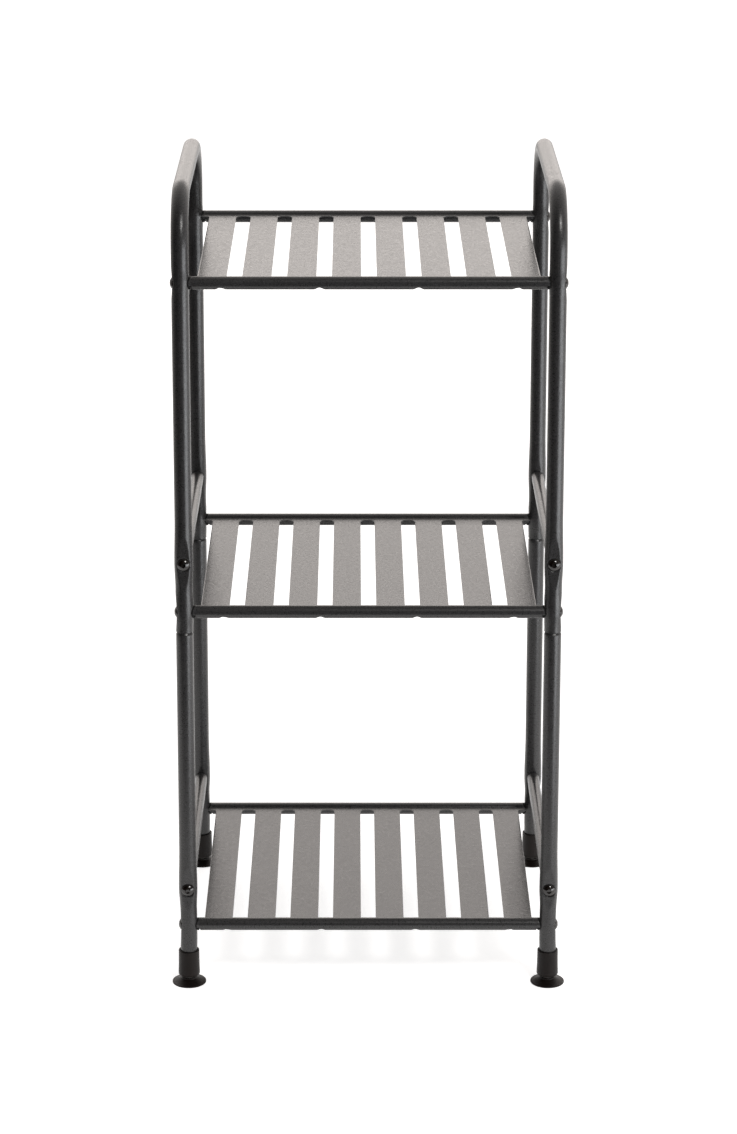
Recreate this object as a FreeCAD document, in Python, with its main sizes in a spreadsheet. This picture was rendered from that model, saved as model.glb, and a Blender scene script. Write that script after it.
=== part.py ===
import FreeCAD, Part
import Sketcher
import math
import os
import re

# A free-standing shelving unit of bent steel tube with three slatted sheet shelves.
# Lengths are in millimetres. X runs left to right, Y front to rear, Z up from the floor,
# and the origin lies on the floor in the middle of the four feet.

SIZES = (
    # alias, value, what it measures
    ("leg_spacing_across", 340, "leg axis to leg axis, left to right"),
    ("leg_spacing_deep", 290, "leg axis to leg axis, front to rear"),
    ("low_shelf_height", 59, "floor to the roll axis of the bottom shelf"),
    ("shelf_pitch", 311, "roll axis to roll axis of neighbouring shelves"),
    ("leg_diameter", 16, "outside of the leg tube"),
    ("leg_wall", 1.2, "wall of the leg tube"),
    ("bend_radius", 48, "centre line of the bends at the top of a side frame"),
    ("arch_rise", 77.7, "top shelf's roll axis up to the axis of the arch"),
    ("seam_drop", 19, "middle shelf's roll axis down to the end of the upper legs"),
    ("seam_gap", 0.3, "gap between an upper leg's end and the shoulder below it"),
    ("rim_chamfer", 0.6, "broken edge of a lower leg's shoulder at the seam"),
    ("spigot_length", 35, "part of a lower leg inside the upper one"),
    ("spigot_wall", 1.2, "wall of the spigot"),
    ("spigot_clearance", 0.1, "spigot to the bore of the upper leg, on the radius"),
    ("spigot_slot_face", 4.5, "leg axis to the flat where the spigot is slotted open"),
    ("spigot_slot_start", 3, "seam to the lower end of that slot"),
    ("press_bulge", 0.75, "how far a pressed leg widens beside a bolt"),
    ("roll_press_depth", 1, "how far a leg is pressed in at a shelf bolt"),
    ("rail_press_depth", 1.4, "how far a leg is pressed in at a rail bolt"),
    ("press_margin", 2, "round tube left between a pressing and a tube end or sleeve"),
    ("top_press_reach", 14, "half length of the pressing at the top shelf"),
    ("press_tail", 42, "length of a pressing above a rail bolt"),
    ("seat_depth", 2, "tube surface to the flat seat of a bolt head"),
    ("seat_diameter", 13, "round seat of a bolt head"),
    ("bolt_hole", 6.4, "clearance hole for a bolt"),
    ("middle_rail_rise", 47, "middle shelf's roll axis up to the side rail above it"),
    ("low_rail_rise", 36.5, "bottom shelf's roll axis up to the side rail above it"),
    ("rail_diameter", 12, "outside of a side rail"),
    ("rail_wall", 1, "wall of a side rail"),
    ("roll_diameter", 12, "outside of a shelf's rolled edge"),
    ("sheet_thickness", 1, "sheet of a shelf"),
    ("deck_rise", 2.6, "roll axis up to the upper face of the deck"),
    ("join_radius", 1.6, "hollow curve where the deck turns up into its roll"),
    ("curl_gap", 0.8, "gap between the free edge of the roll and the deck"),
    ("blank_margin", 7, "leg axis to the end of a rolled edge"),
    ("slat_width", 26.5, "slat of a deck"),
    ("slot_width", 14, "slot between two slats"),
    ("rear_border", 10.5, "rear roll's axis to the rear end of a slot"),
    ("front_border", 4, "front roll's axis to the front end of a slot, which runs into the roll's wall"),
    ("slot_corner", 4.5, "corner radius of a slot"),
    ("lip_trim", 2, "how much shorter the lower half of a roll is at each end"),
    ("lip_drop", 1.5, "roll axis down to where that shorter lip starts"),
    ("drain_hole", 10, "hole in the underside of the front roll"),
    ("drain_spacing", 89, "hole to hole along the front roll"),
    ("plug_flange", 2, "thickness of an end plug between leg and tube"),
    ("plug_length", 17, "part of an end plug inside its tube"),
    ("fit_gap", 0.05, "gap between seated or fitted pieces, on the radius"),
    ("bolt_diameter", 6, "shank of a bolt"),
    ("bolt_length", 30, "bolt from under the head to its tip"),
    ("head_diameter", 12, "domed head of a bolt"),
    ("head_height", 3.4, "height of that head"),
    ("head_rim", 0.5, "straight edge under the dome"),
    ("socket_width", 4, "hexagon socket across its flats"),
    ("socket_depth", 2, "depth of the hexagon socket"),
    ("sleeve_bottom", 8.2, "floor to the underside of a foot sleeve"),
    ("sleeve_height", 24.9, "height of a foot sleeve"),
    ("sleeve_floor", 2.5, "thickness under the leg"),
    ("sleeve_top_diameter", 19.5, "foot sleeve at its upper edge"),
    ("sleeve_base_diameter", 20.4, "foot sleeve near its lower edge"),
    ("sleeve_edge", 1.2, "chamfer at the lower edge of a foot sleeve"),
    ("boss_height", 12, "boss of the sleeve inside the leg, threaded for the stud"),
    ("stud_diameter", 8, "threaded stud of a foot"),
    ("stud_length", 25, "stud above its collar"),
    ("stud_clearance", 0.08, "running gap round the stud and in its socket"),
    ("collar_width", 13, "hexagon collar across its flats"),
    ("collar_gap", 0.3, "collar to the sleeve above it"),
    ("socket_neck", 6.4, "neck of the stud in the pad"),
    ("socket_disc", 8.6, "retaining disc of the stud in the pad"),
    ("socket_disc_height", 1.2, "thickness of that disc"),
    ("pad_diameter", 32, "foot pad on the floor"),
    ("pad_floor", 1.2, "pad under the stud"),
    ("pad_rim", 1.3, "straight rim of the pad"),
    ("pad_shoulder", 4.6, "height where the pad's cone meets its hub"),
    ("pad_hub", 15, "hub of the pad"),
    ("pad_height", 6, "height of the pad at its hub"),
    ("overrun", 4, "how far a cutting shape runs past what it cuts"),
)
SLOT_COUNT = 7
DRAIN_COUNT = 4
PRESS_STEPS = 2
SAME_PLACE = 1e-6
ALIASES = {alias for alias, value, note in SIZES}

# Formulas that several pieces share
LEFT = "(-leg_spacing_across / 2)"
FRONT = "(-leg_spacing_deep / 2)"
BOTTOM = "low_shelf_height"
MIDDLE = "(low_shelf_height + shelf_pitch)"
TOP = "(low_shelf_height + 2 * shelf_pitch)"
SEAM = "(low_shelf_height + shelf_pitch - seam_drop)"
ARCH = "(low_shelf_height + 2 * shelf_pitch + arch_rise)"
MIDDLE_RAIL = "(low_shelf_height + shelf_pitch + middle_rail_rise)"
LOW_RAIL = "(low_shelf_height + low_rail_rise)"
LEG_FOOT = "(sleeve_bottom + sleeve_floor)"
SLEEVE_TOP = "(sleeve_bottom + sleeve_height)"
LEG_RADIUS = "(leg_diameter / 2)"
SEAT_PLANE = "(leg_diameter / 2 - seat_depth)"
SADDLE = "(leg_diameter / 2 + plug_flange)"
PLUG_END = "(leg_diameter / 2 + plug_flange + plug_length)"
SLEEVE_BORE = "(leg_diameter / 2 + fit_gap)"

ACROSS = FreeCAD.Vector(1, 0, 0)
DEEP = FreeCAD.Vector(0, 1, 0)
UP = FreeCAD.Vector(0, 0, 1)

doc = FreeCAD.newDocument("shelving_unit")


def write_sheet():
    """Put every driving size into the sheet, each under its alias."""
    sheet = doc.addObject("Spreadsheet::Sheet", "Sizes")
    for row, (alias, value, note) in enumerate(SIZES, start=1):
        sheet.set(f"A{row}", note)
        sheet.set(f"B{row}", str(value))
        sheet.setAlias(f"B{row}", alias)
    doc.recompute()
    return sheet


SHEET = write_sheet()


def cells(formula):
    """Point every size name in a formula at its cell."""
    return re.sub(r"[a-z_]+", lambda word: "Sizes." + word[0] if word[0] in ALIASES else word[0], formula)


def number(formula):
    """Today's value of a formula."""
    return float(SHEET.evalExpression(cells(formula)))


def bind(item, **formulas):
    """Drive properties of an object by formulas."""
    for name, formula in formulas.items():
        item.setExpression(name, cells(formula))
    return item


def place(item, x="0", y="0", z="0", rotation=None):
    """Stand an object at formulas for its place, turned by a fixed rotation."""
    if rotation:
        item.Placement = FreeCAD.Placement(FreeCAD.Vector(), rotation)
    for name, formula in zip("xyz", (x, y, z)):
        if formula != "0":
            item.setExpression(f"Placement.Base.{name}", cells(formula))
    return item


def solid(kind, name, **formulas):
    """A primitive with its sizes bound."""
    return bind(doc.addObject(kind, name), **formulas)


def fuse(name, pieces):
    """Join pieces into one."""
    joined = doc.addObject("Part::MultiFuse", name)
    joined.Shapes = pieces
    joined.Refine = True
    return joined


def cut(name, base, tools):
    """Take tools away from a base."""
    tool = tools[0] if len(tools) == 1 else fuse(name + "_tools", tools)
    result = doc.addObject("Part::Cut", name)
    result.Base = base
    result.Tool = tool
    return result


def mirror(name, source, normal):
    """The mirror image of a piece across the unit's middle."""
    image = doc.addObject("Part::Mirroring", name)
    image.Source = source
    image.Normal = normal
    return image


def four_corners(name, source):
    """A piece of the front left leg and its images at the other three legs."""
    right = mirror(name + "_right", source, ACROSS)
    return [source, right, mirror(name + "_rear", source, DEEP), mirror(name + "_far", right, DEEP)]


def group(label, pieces, height="0"):
    """Several like solids as one sub-part, raised to its height."""
    node = doc.addObject("Part::Compound", label)
    node.Links = pieces
    return place(node, z=height)


def rod(name, direction, radius, start, end, height):
    """A cylinder square to the front left leg, from one distance off its axis to another."""
    bar = solid("Part::Cylinder", name, Radius=radius, Height=f"{end} - ({start})")
    turn = FreeCAD.Rotation(UP, direction)
    if direction == ACROSS:
        return place(bar, x=f"{LEFT} + {start}", y=FRONT, z=height, rotation=turn)
    return place(bar, x=LEFT, y=f"{FRONT} + {start}", z=height, rotation=turn)


# Legs

def column(name, low, high, inset):
    """A round stretch of the front left leg."""
    tube = solid("Part::Cylinder", name, Radius=f"{LEG_RADIUS} - {inset}", Height=f"{high} - {low}")
    return place(tube, x=LEFT, y=FRONT, z=low)


def press_die(name, direction, radius, off_axis, height):
    """A large cylinder lying square to both the leg and the bolt, its axis off the leg's axis."""
    die = solid("Part::Cylinder", name, Radius=radius, Height="2 * leg_diameter")
    if direction == ACROSS:
        turn = FreeCAD.Rotation(UP, DEEP)
        return place(die, f"{LEFT} + {off_axis}", f"{FRONT} - leg_diameter", height, turn)
    turn = FreeCAD.Rotation(UP, ACROSS)
    return place(die, f"{LEFT} - leg_diameter", f"{FRONT} + {off_axis}", height, turn)


def pressing(name, direction, height, below, above, inset):
    """A stretch of the front left leg that was squeezed at a bolt.

    It swells towards the bolt, and two large round dies have pressed its sides: the outer side
    goes in by the depth and the inner side stays in line with the tube. The bore does not swell.
    """
    depth = "roll_press_depth" if direction == ACROSS else "rail_press_depth"
    radius = f"({LEG_RADIUS} - {inset})"
    die = f"({below} ^ 2 / (2 * {depth}))"
    outer_die = press_die("outer_die", direction, die, f"(-{radius} + {depth} - {die})", height)
    if inset == "leg_wall":
        bore = column(name + "_bore", f"({height} - {below})", f"({height} + {above})", inset)
        return cut(name, bore, [outer_die])
    swell = [f"{radius} + {math.cos(math.pi / 2 * step / PRESS_STEPS):.4f} * press_bulge"
             for step in range(-PRESS_STEPS, PRESS_STEPS + 1)]
    rings = []
    for step, low, high in zip(range(-PRESS_STEPS, PRESS_STEPS), swell, swell[1:]):
        reach = f"{below if step < 0 else above} / {PRESS_STEPS}"
        ring = solid("Part::Cone", f"{name}_ring", Radius1=low, Radius2=high, Height=reach)
        rings.append(place(ring, LEFT, FRONT, f"{height} + {step} * {reach}"))
    inner_die = press_die("inner_die", direction, die, f"({radius} + {die})", height)
    return cut(name, fuse(name + "_rings", rings), [outer_die, inner_die])


def shelf_pressing(level, inset):
    """The pressing at a shelf bolt: top, middle or bottom."""
    height, below, above = {
        "top": (TOP, "top_press_reach", "top_press_reach"),
        "middle": (MIDDLE, "(seam_drop - press_margin)", "(middle_rail_rise / 2)"),
        "bottom": (BOTTOM, f"(low_shelf_height - {SLEEVE_TOP} - press_margin)", "(low_rail_rise / 2)"),
    }[level]
    return pressing(f"{level}_shelf_pressing", ACROSS, height, below, above, inset)


def rail_pressing(level, inset):
    """The pressing at a rail bolt: middle or low."""
    height, below = {
        "middle": (MIDDLE_RAIL, "(middle_rail_rise / 2)"),
        "low": (LOW_RAIL, "(low_rail_rise / 2)"),
    }[level]
    return pressing(f"{level}_rail_pressing", DEEP, height, below, "press_tail", inset)


def arch_rod(inset):
    """The front half of the left side frame's tube, filled, from the seam to the arch's middle."""
    quarter = solid("Part::Torus", "arch_bend", Radius1="bend_radius", Radius2=f"{LEG_RADIUS} - {inset}")
    quarter.Angle3 = 90
    place(quarter, LEFT, f"{FRONT} + bend_radius", f"{ARCH} - bend_radius",
          FreeCAD.Rotation(-DEEP, UP, -ACROSS, "ZXY"))
    return fuse("arch_rod", [
        column("joint_column", SEAM, f"({SEAM} + press_margin)", inset),
        shelf_pressing("middle", inset),
        rail_pressing("middle", inset),
        column("upper_column", f"({MIDDLE_RAIL} + press_tail)", f"({TOP} - top_press_reach)", inset),
        shelf_pressing("top", inset),
        column("bend_column", f"({TOP} + top_press_reach)", f"({ARCH} - bend_radius)", inset),
        quarter,
        rod("arch_run", DEEP, f"{LEG_RADIUS} - {inset}", "bend_radius", "leg_spacing_deep / 2", ARCH),
    ])


def leg_rod(inset, top):
    """The front left lower leg, filled, from its foot up to the height where it narrows."""
    return fuse("leg_rod", [
        column("foot_column", LEG_FOOT, f"({SLEEVE_TOP} + press_margin)", inset),
        shelf_pressing("bottom", inset),
        rail_pressing("low", inset),
        column("lower_column", f"({LOW_RAIL} + press_tail)", top, inset),
    ])


def seat_pan(direction, height):
    """The metal behind a bolt seat, which the bore of the leg goes round."""
    return rod("seat_pan", direction, "seat_diameter / 2 + leg_wall",
               f"-({LEG_RADIUS} + overrun)", f"-({SEAT_PLANE} - leg_wall)", height)


def bolt_cuts(direction, height):
    """The round seat of a bolt head and its hole through the leg."""
    outside = f"-({LEG_RADIUS} + overrun)"
    return [
        rod("bolt_seat", direction, "seat_diameter / 2", outside, f"-{SEAT_PLANE}", height),
        rod("bolt_hole", direction, "bolt_hole / 2", outside, f"{LEG_RADIUS} + overrun", height),
    ]


def side_frame():
    """The left side frame: two upper legs and the arch that joins them, in one bent tube."""
    bolts = [(ACROSS, TOP), (ACROSS, MIDDLE), (DEEP, MIDDLE_RAIL)]
    bore = cut("arch_bore", arch_rod("leg_wall"), [seat_pan(*bolt) for bolt in bolts])
    cuts = [tool for bolt in bolts for tool in bolt_cuts(*bolt)]
    half = cut("half_frame", arch_rod("0"), [bore] + cuts)
    return fuse("side_frame_left", [half, mirror("other_half", half, DEEP)])


def lower_leg():
    """The front left lower leg with its swaged spigot, which is slotted round the bolt seat above."""
    shoulder = f"({SEAM} - seam_gap)"
    rim_base = f"({SEAM} - seam_gap - rim_chamfer)"
    swage = f"({SEAM} - seam_gap - leg_wall)"
    tip = f"({SEAM} + spigot_length)"
    rim = solid("Part::Cone", "rim", Radius1=LEG_RADIUS, Radius2=f"{LEG_RADIUS} - rim_chamfer",
                Height="rim_chamfer")
    outside = fuse("leg_outside", [
        leg_rod("0", rim_base),
        place(rim, LEFT, FRONT, rim_base),
        column("spigot", shoulder, tip, "leg_wall - spigot_clearance"),
    ])
    bolts = [(ACROSS, BOTTOM), (DEEP, LOW_RAIL)]
    bore = cut("leg_bore", leg_rod("leg_wall", swage), [seat_pan(*bolt) for bolt in bolts])
    spigot_bore = column("spigot_bore", swage, f"({tip} + overrun)",
                         "leg_wall - spigot_clearance - spigot_wall")
    slot = solid("Part::Box", "spigot_slot", Length=f"{LEG_RADIUS} - spigot_slot_face",
                 Width="leg_diameter", Height="spigot_length - spigot_slot_start + overrun")
    place(slot, f"{LEFT} - {LEG_RADIUS}", f"{FRONT} - {LEG_RADIUS}", f"{SEAM} + spigot_slot_start")
    cuts = [tool for bolt in bolts for tool in bolt_cuts(*bolt)]
    lock_hole = bolt_cuts(ACROSS, MIDDLE)[1]
    return cut("leg_lower_front_left", outside, [bore, spigot_bore, slot, lock_hole] + cuts)


# End plugs, which centre a tube on its bolt and bear on the leg

def end_plug(level, direction, height, tube_radius, tube_bore, pressed_leg):
    """A plug at the front left leg: a saddle flange against the leg and a core inside the tube."""
    seat = solid("Part::Cylinder", "saddle", Radius=f"{SADDLE} - fit_gap", Height=f"2 * ({tube_radius})")
    place(seat, LEFT, FRONT, f"{height} - ({tube_radius})")
    flange = doc.addObject("Part::Common", "flange")
    flange.Base = rod("flange_disc", direction, tube_radius, "0", SADDLE, height)
    flange.Tool = seat
    core = rod("core", direction, f"{tube_bore} - fit_gap", "0", PLUG_END, height)
    thread = rod("plug_thread", direction, "bolt_diameter / 2 + fit_gap", "0", f"{PLUG_END} + overrun", height)
    return cut(f"{level}_plug", fuse(f"{level}_plug_blank", [flange, core]), [pressed_leg, thread])


# Sketch helpers

def sketch_on(body, name, role, offset="0"):
    """A sketch on one of the body's own planes, raised off it by a formula."""
    sketch = body.newObject("Sketcher::SketchObject", name)
    plane = [item for item in body.Origin.OriginFeatures if item.Role == role][0]
    sketch.AttachmentSupport = [(plane, "")]
    sketch.MapMode = "FlatFace"
    if offset != "0":
        sketch.setExpression("AttachmentOffset.Base.z", cells(offset))
    return sketch


def point(x, y):
    """A sketch point at today's value of its two formulas."""
    return FreeCAD.Vector(number(x), number(y), 0)


def drive(sketch, constraint, formula):
    """Add a constraint and bind its value."""
    index = sketch.addConstraint(constraint)
    sketch.setExpression(f"Constraints[{index}]", cells(formula))


def pin(sketch, geometry, end, x, y):
    """Hold one point of a sketch at formulas for its two coordinates."""
    for kind, axis, formula in (("DistanceX", -2, x), ("DistanceY", -1, y)):
        if formula == "0":
            sketch.addConstraint(Sketcher.Constraint("PointOnObject", geometry, end, axis))
        else:
            drive(sketch, Sketcher.Constraint(kind, -1, 1, geometry, end, number(formula)), formula)


def circle(sketch, radius, x="0", y="0"):
    """A circle with its centre and radius bound."""
    ring = sketch.addGeometry(Part.Circle(point(x, y), UP, number(radius)))
    pin(sketch, ring, 3, x, y)
    drive(sketch, Sketcher.Constraint("Radius", ring, number(radius)), radius)


def outline(sketch, corners):
    """A closed outline of straight lines with every corner bound."""
    lines = []
    for here, there in zip(corners, corners[1:] + corners[:1]):
        lines.append(sketch.addGeometry(Part.LineSegment(point(*here), point(*there))))
    for before, line, corner in zip(lines[-1:] + lines[:-1], lines, corners):
        sketch.addConstraint(Sketcher.Constraint("Coincident", before, 2, line, 1))
        pin(sketch, line, 1, *corner)


def rectangle(sketch, left, right, low, high):
    """An upright rectangle."""
    outline(sketch, [(left, low), (right, low), (right, high), (left, high)])


def rounded_rectangle(sketch, x, y, width, length, radius):
    """A rectangle with round corners about a point."""
    arcs = []
    for quarter, (side, end) in enumerate(((1, 1), (-1, 1), (-1, -1), (1, -1))):
        centre_x = f"{x} + {side} * ({width} / 2 - {radius})"
        centre_y = f"{y} + {end} * ({length} / 2 - {radius})"
        ring = Part.Circle(point(centre_x, centre_y), UP, number(radius))
        start = quarter * math.pi / 2
        arc = sketch.addGeometry(Part.ArcOfCircle(ring, start, start + math.pi / 2))
        pin(sketch, arc, 3, centre_x, centre_y)
        drive(sketch, Sketcher.Constraint("Radius", arc, number(radius)), radius)
        arcs.append(arc)
    for before, after in zip(arcs, arcs[1:] + arcs[:1]):
        ends = (sketch.getPoint(before, 2), sketch.getPoint(after, 1))
        line = sketch.addGeometry(Part.LineSegment(*ends))
        sketch.addConstraint(Sketcher.Constraint("Tangent", before, 2, line, 1))
        sketch.addConstraint(Sketcher.Constraint("Tangent", line, 2, after, 1))


def new_body(label):
    """An empty body."""
    return doc.addObject("PartDesign::Body", label)


def pad(body, sketch, length, both_ways=False):
    """Thicken a sketch, up from its plane or to both sides."""
    feature = body.newObject("PartDesign::Pad", sketch.Name + "_pad")
    feature.Profile = sketch
    feature.SideType = "Symmetric" if both_ways else "One side"
    bind(feature, Length=length)
    doc.recompute()
    return feature


def pocket(body, sketch, depth=None):
    """Cut a sketch out: right through to both sides, or down from its plane by a depth."""
    feature = body.newObject("PartDesign::Pocket", sketch.Name + "_pocket")
    feature.Profile = sketch
    before = body.Shape.Volume
    if depth:
        bind(feature, Length=depth)
    else:
        feature.Type = "ThroughAll"
        feature.SideType = "Symmetric"
    doc.recompute()
    if not body.Shape.Volume < before:
        raise RuntimeError(f"{feature.Name} cuts nothing")
    return feature


def revolve(body, sketch, axis):
    """Turn a sketch about one of its own axes."""
    feature = body.newObject("PartDesign::Revolution", sketch.Name + "_turned")
    feature.Profile = sketch
    feature.ReferenceAxis = (sketch, [axis])
    doc.recompute()
    return feature


def repeat(body, feature, sketch, spacing, count):
    """A row of copies along X of what a feature makes."""
    row = body.newObject("PartDesign::LinearPattern", feature.Name + "_row")
    row.Originals = [feature]
    row.Direction = (sketch, ["H_Axis"])
    row.Mode = "Spacing"
    row.Occurrences = count
    bind(row, Offset=spacing)
    body.Tip = row
    doc.recompute()
    return row


# Shelves

def saddle_cuts(body, name, radius, offset="0"):
    """Four circles about the leg axes, on a plane of the shelf."""
    sketch = sketch_on(body, name, "XY_Plane", offset)
    for x in (LEFT, f"-{LEFT}"):
        for y in (FRONT, f"-{FRONT}"):
            circle(sketch, radius, x, y)
    return sketch


def shelf(label, height):
    """A shelf from one sheet: a slatted deck whose front and rear edges curl up and over into rolls."""
    body = place(new_body(label), z=height)
    half_blank = "(leg_spacing_across / 2 - blank_margin)"

    deck = sketch_on(body, label + "_deck", "XY_Plane", "deck_rise - sheet_thickness")
    rectangle(deck, f"-{half_blank}", half_blank, FRONT, f"-{FRONT}")
    pad(body, deck, "sheet_thickness")

    rolls = sketch_on(body, label + "_rolls", "YZ_Plane")
    bores = sketch_on(body, label + "_bores", "YZ_Plane")
    for y in (FRONT, f"-{FRONT}"):
        circle(rolls, "roll_diameter / 2", y)
        circle(bores, "roll_diameter / 2 - sheet_thickness", y)
    pad(body, rolls, f"2 * {half_blank}", both_ways=True)
    pocket(body, bores)

    rise = number("deck_rise")
    folds = [f"Edge{index}" for index, edge in enumerate(body.Shape.Edges, start=1)
             if abs(edge.BoundBox.ZMax - number(height) - rise) < SAME_PLACE > edge.BoundBox.YLength
             and abs(edge.BoundBox.YMin) > number("leg_spacing_deep / 2 - roll_diameter / 2")
             and edge.BoundBox.XLength > number("leg_spacing_across / 2")]
    bare_rolls = body.Tip
    joins = body.newObject("PartDesign::Fillet", label + "_joins")
    joins.Base = (bare_rolls, folds)
    bind(joins, Radius="join_radius")
    doc.recompute()

    gaps = sketch_on(body, label + "_gaps", "YZ_Plane")
    outer = "(leg_spacing_deep / 2 - roll_diameter / 2 - join_radius)"
    inner = "(leg_spacing_deep / 2 - roll_diameter / 2 + 2 * sheet_thickness)"
    floor = "(deck_rise - sheet_thickness - curl_gap)"
    rectangle(gaps, outer, inner, floor, "deck_rise - sheet_thickness")
    rectangle(gaps, f"-{inner}", f"-{outer}", floor, "deck_rise - sheet_thickness")
    pocket(body, gaps)

    slot_length = "(leg_spacing_deep - rear_border - front_border)"
    slot_middle = "(front_border - rear_border) / 2"
    slot_depth = "roll_diameter / 2 - deck_rise + sheet_thickness + curl_gap / 2"
    spacing = "(slat_width + slot_width)"
    slot = sketch_on(body, label + "_slot", "XY_Plane", "roll_diameter / 2")
    first_slot = f"-{SLOT_COUNT - 1} / 2 * {spacing}"
    rounded_rectangle(slot, first_slot, slot_middle, "slot_width", slot_length, "slot_corner")
    repeat(body, pocket(body, slot, slot_depth), slot, spacing, SLOT_COUNT)

    sides = sketch_on(body, label + "_sides", "XY_Plane", "roll_diameter / 2")
    side_width = "(2 * blank_margin + 2 * overrun)"
    side_centre = f"({SLOT_COUNT} / 2 * {spacing} + slat_width / 2 + {side_width} / 2)"
    for side in ("", "-"):
        rounded_rectangle(sides, side + side_centre, slot_middle, side_width, slot_length, "slot_corner")
    pocket(body, sides, slot_depth)

    pocket(body, saddle_cuts(body, label + "_saddles", SADDLE))
    lips = saddle_cuts(body, label + "_lips", f"{SADDLE} + lip_trim", "-lip_drop")
    pocket(body, lips, "roll_diameter")

    drain = sketch_on(body, label + "_drain", "XY_Plane")
    circle(drain, "drain_hole / 2", f"-{DRAIN_COUNT - 1} / 2 * drain_spacing", FRONT)
    repeat(body, pocket(body, drain, "roll_diameter"), drain, "drain_spacing", DRAIN_COUNT)
    return body


# Side rails

def side_rail(label, x, height):
    """A round rail between a front and a rear leg, its ends hollowed to the plugs."""
    body = place(new_body(label), x=x, z=height)
    tube = sketch_on(body, label + "_tube", "XZ_Plane")
    circle(tube, "rail_diameter / 2")
    circle(tube, "rail_diameter / 2 - rail_wall")
    pad(body, tube, "leg_spacing_deep", both_ways=True)
    ends = sketch_on(body, label + "_ends", "XY_Plane")
    circle(ends, SADDLE, "0", FRONT)
    circle(ends, SADDLE, "0", f"-{FRONT}")
    pocket(body, ends)
    return body


# Bolts

def bolt(name, direction):
    """A domed socket bolt in the front left leg, at floor level."""
    body = new_body(name)
    turn = FreeCAD.Rotation(ACROSS, direction)
    if direction == ACROSS:
        place(body, f"{LEFT} - {SEAT_PLANE}", FRONT, rotation=turn)
    else:
        place(body, LEFT, f"{FRONT} - {SEAT_PLANE}", rotation=turn)
    profile = sketch_on(body, name + "_profile", "XZ_Plane")
    corners = [
        ("-head_height", "0"),
        ("bolt_length", "0"),
        ("bolt_length", "bolt_diameter / 2"),
        ("0", "bolt_diameter / 2"),
        ("0", "head_diameter / 2"),
        ("-head_rim", "head_diameter / 2"),
    ]
    lines = [profile.addGeometry(Part.LineSegment(point(*here), point(*there)))
             for here, there in zip(corners, corners[1:])]
    dome_rise = number("head_height - head_rim")
    dome_radius = (dome_rise ** 2 + number("head_diameter / 2") ** 2) / (2 * dome_rise)
    centre = FreeCAD.Vector(dome_radius - number("head_height"), 0, 0)
    ring = Part.Circle(centre, UP, dome_radius)
    start, end = sorted(ring.parameter(point(*corner)) for corner in (corners[-1], corners[0]))
    dome = profile.addGeometry(Part.ArcOfCircle(ring, start, end))
    for before, line in zip(lines, lines[1:]):
        profile.addConstraint(Sketcher.Constraint("Coincident", before, 2, line, 1))
    profile.addConstraint(Sketcher.Constraint("Coincident", lines[-1], 2, dome, 1))
    profile.addConstraint(Sketcher.Constraint("Coincident", dome, 2, lines[0], 1))
    profile.addConstraint(Sketcher.Constraint("PointOnObject", dome, 3, -1))
    for line, corner in zip(lines, corners):
        pin(profile, line, 1, *corner)
    pin(profile, lines[-1], 2, *corners[-1])
    revolve(body, profile, "H_Axis")
    socket = sketch_on(body, name + "_socket", "YZ_Plane", "-head_height")
    hexagon(socket, "socket_width")
    key = pocket(body, socket)
    key.SideType = "One side"
    key.Type = "Length"
    key.Reversed = True
    bind(key, Length="socket_depth")
    doc.recompute()
    return body


def hexagon(sketch, across_flats):
    """A regular hexagon about the sketch's origin."""
    corner_share = 1 / math.sqrt(3)
    corners = []
    for turn in range(6):
        angle = math.radians(60 * turn)
        shares = (corner_share * math.cos(angle), corner_share * math.sin(angle))
        corners.append(tuple(f"{share:.6f} * {across_flats}" for share in shares))
    outline(sketch, corners)


# Feet

def turned(label, x, y, z, corners):
    """A body of revolution about its own upright axis."""
    body = place(new_body(label), x, y, z)
    profile = sketch_on(body, label + "_profile", "XZ_Plane")
    outline(profile, corners)
    revolve(body, profile, "V_Axis")
    return body


def foot_sleeve():
    """The moulded sleeve on the foot of the front left leg, with a boss up inside the tube."""
    base = "sleeve_base_diameter / 2"
    boss = f"{LEG_RADIUS} - leg_wall - fit_gap"
    thread = "stud_diameter / 2 + stud_clearance"
    return turned("foot_sleeve", LEFT, FRONT, "sleeve_bottom", [
        (thread, "0"),
        (f"{base} - sleeve_edge", "0"),
        (base, "sleeve_edge"),
        ("sleeve_top_diameter / 2", "sleeve_height"),
        (SLEEVE_BORE, "sleeve_height"),
        (SLEEVE_BORE, "sleeve_floor"),
        (boss, "sleeve_floor"),
        (boss, "sleeve_floor + boss_height"),
        (thread, "sleeve_floor + boss_height"),
    ])


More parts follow.
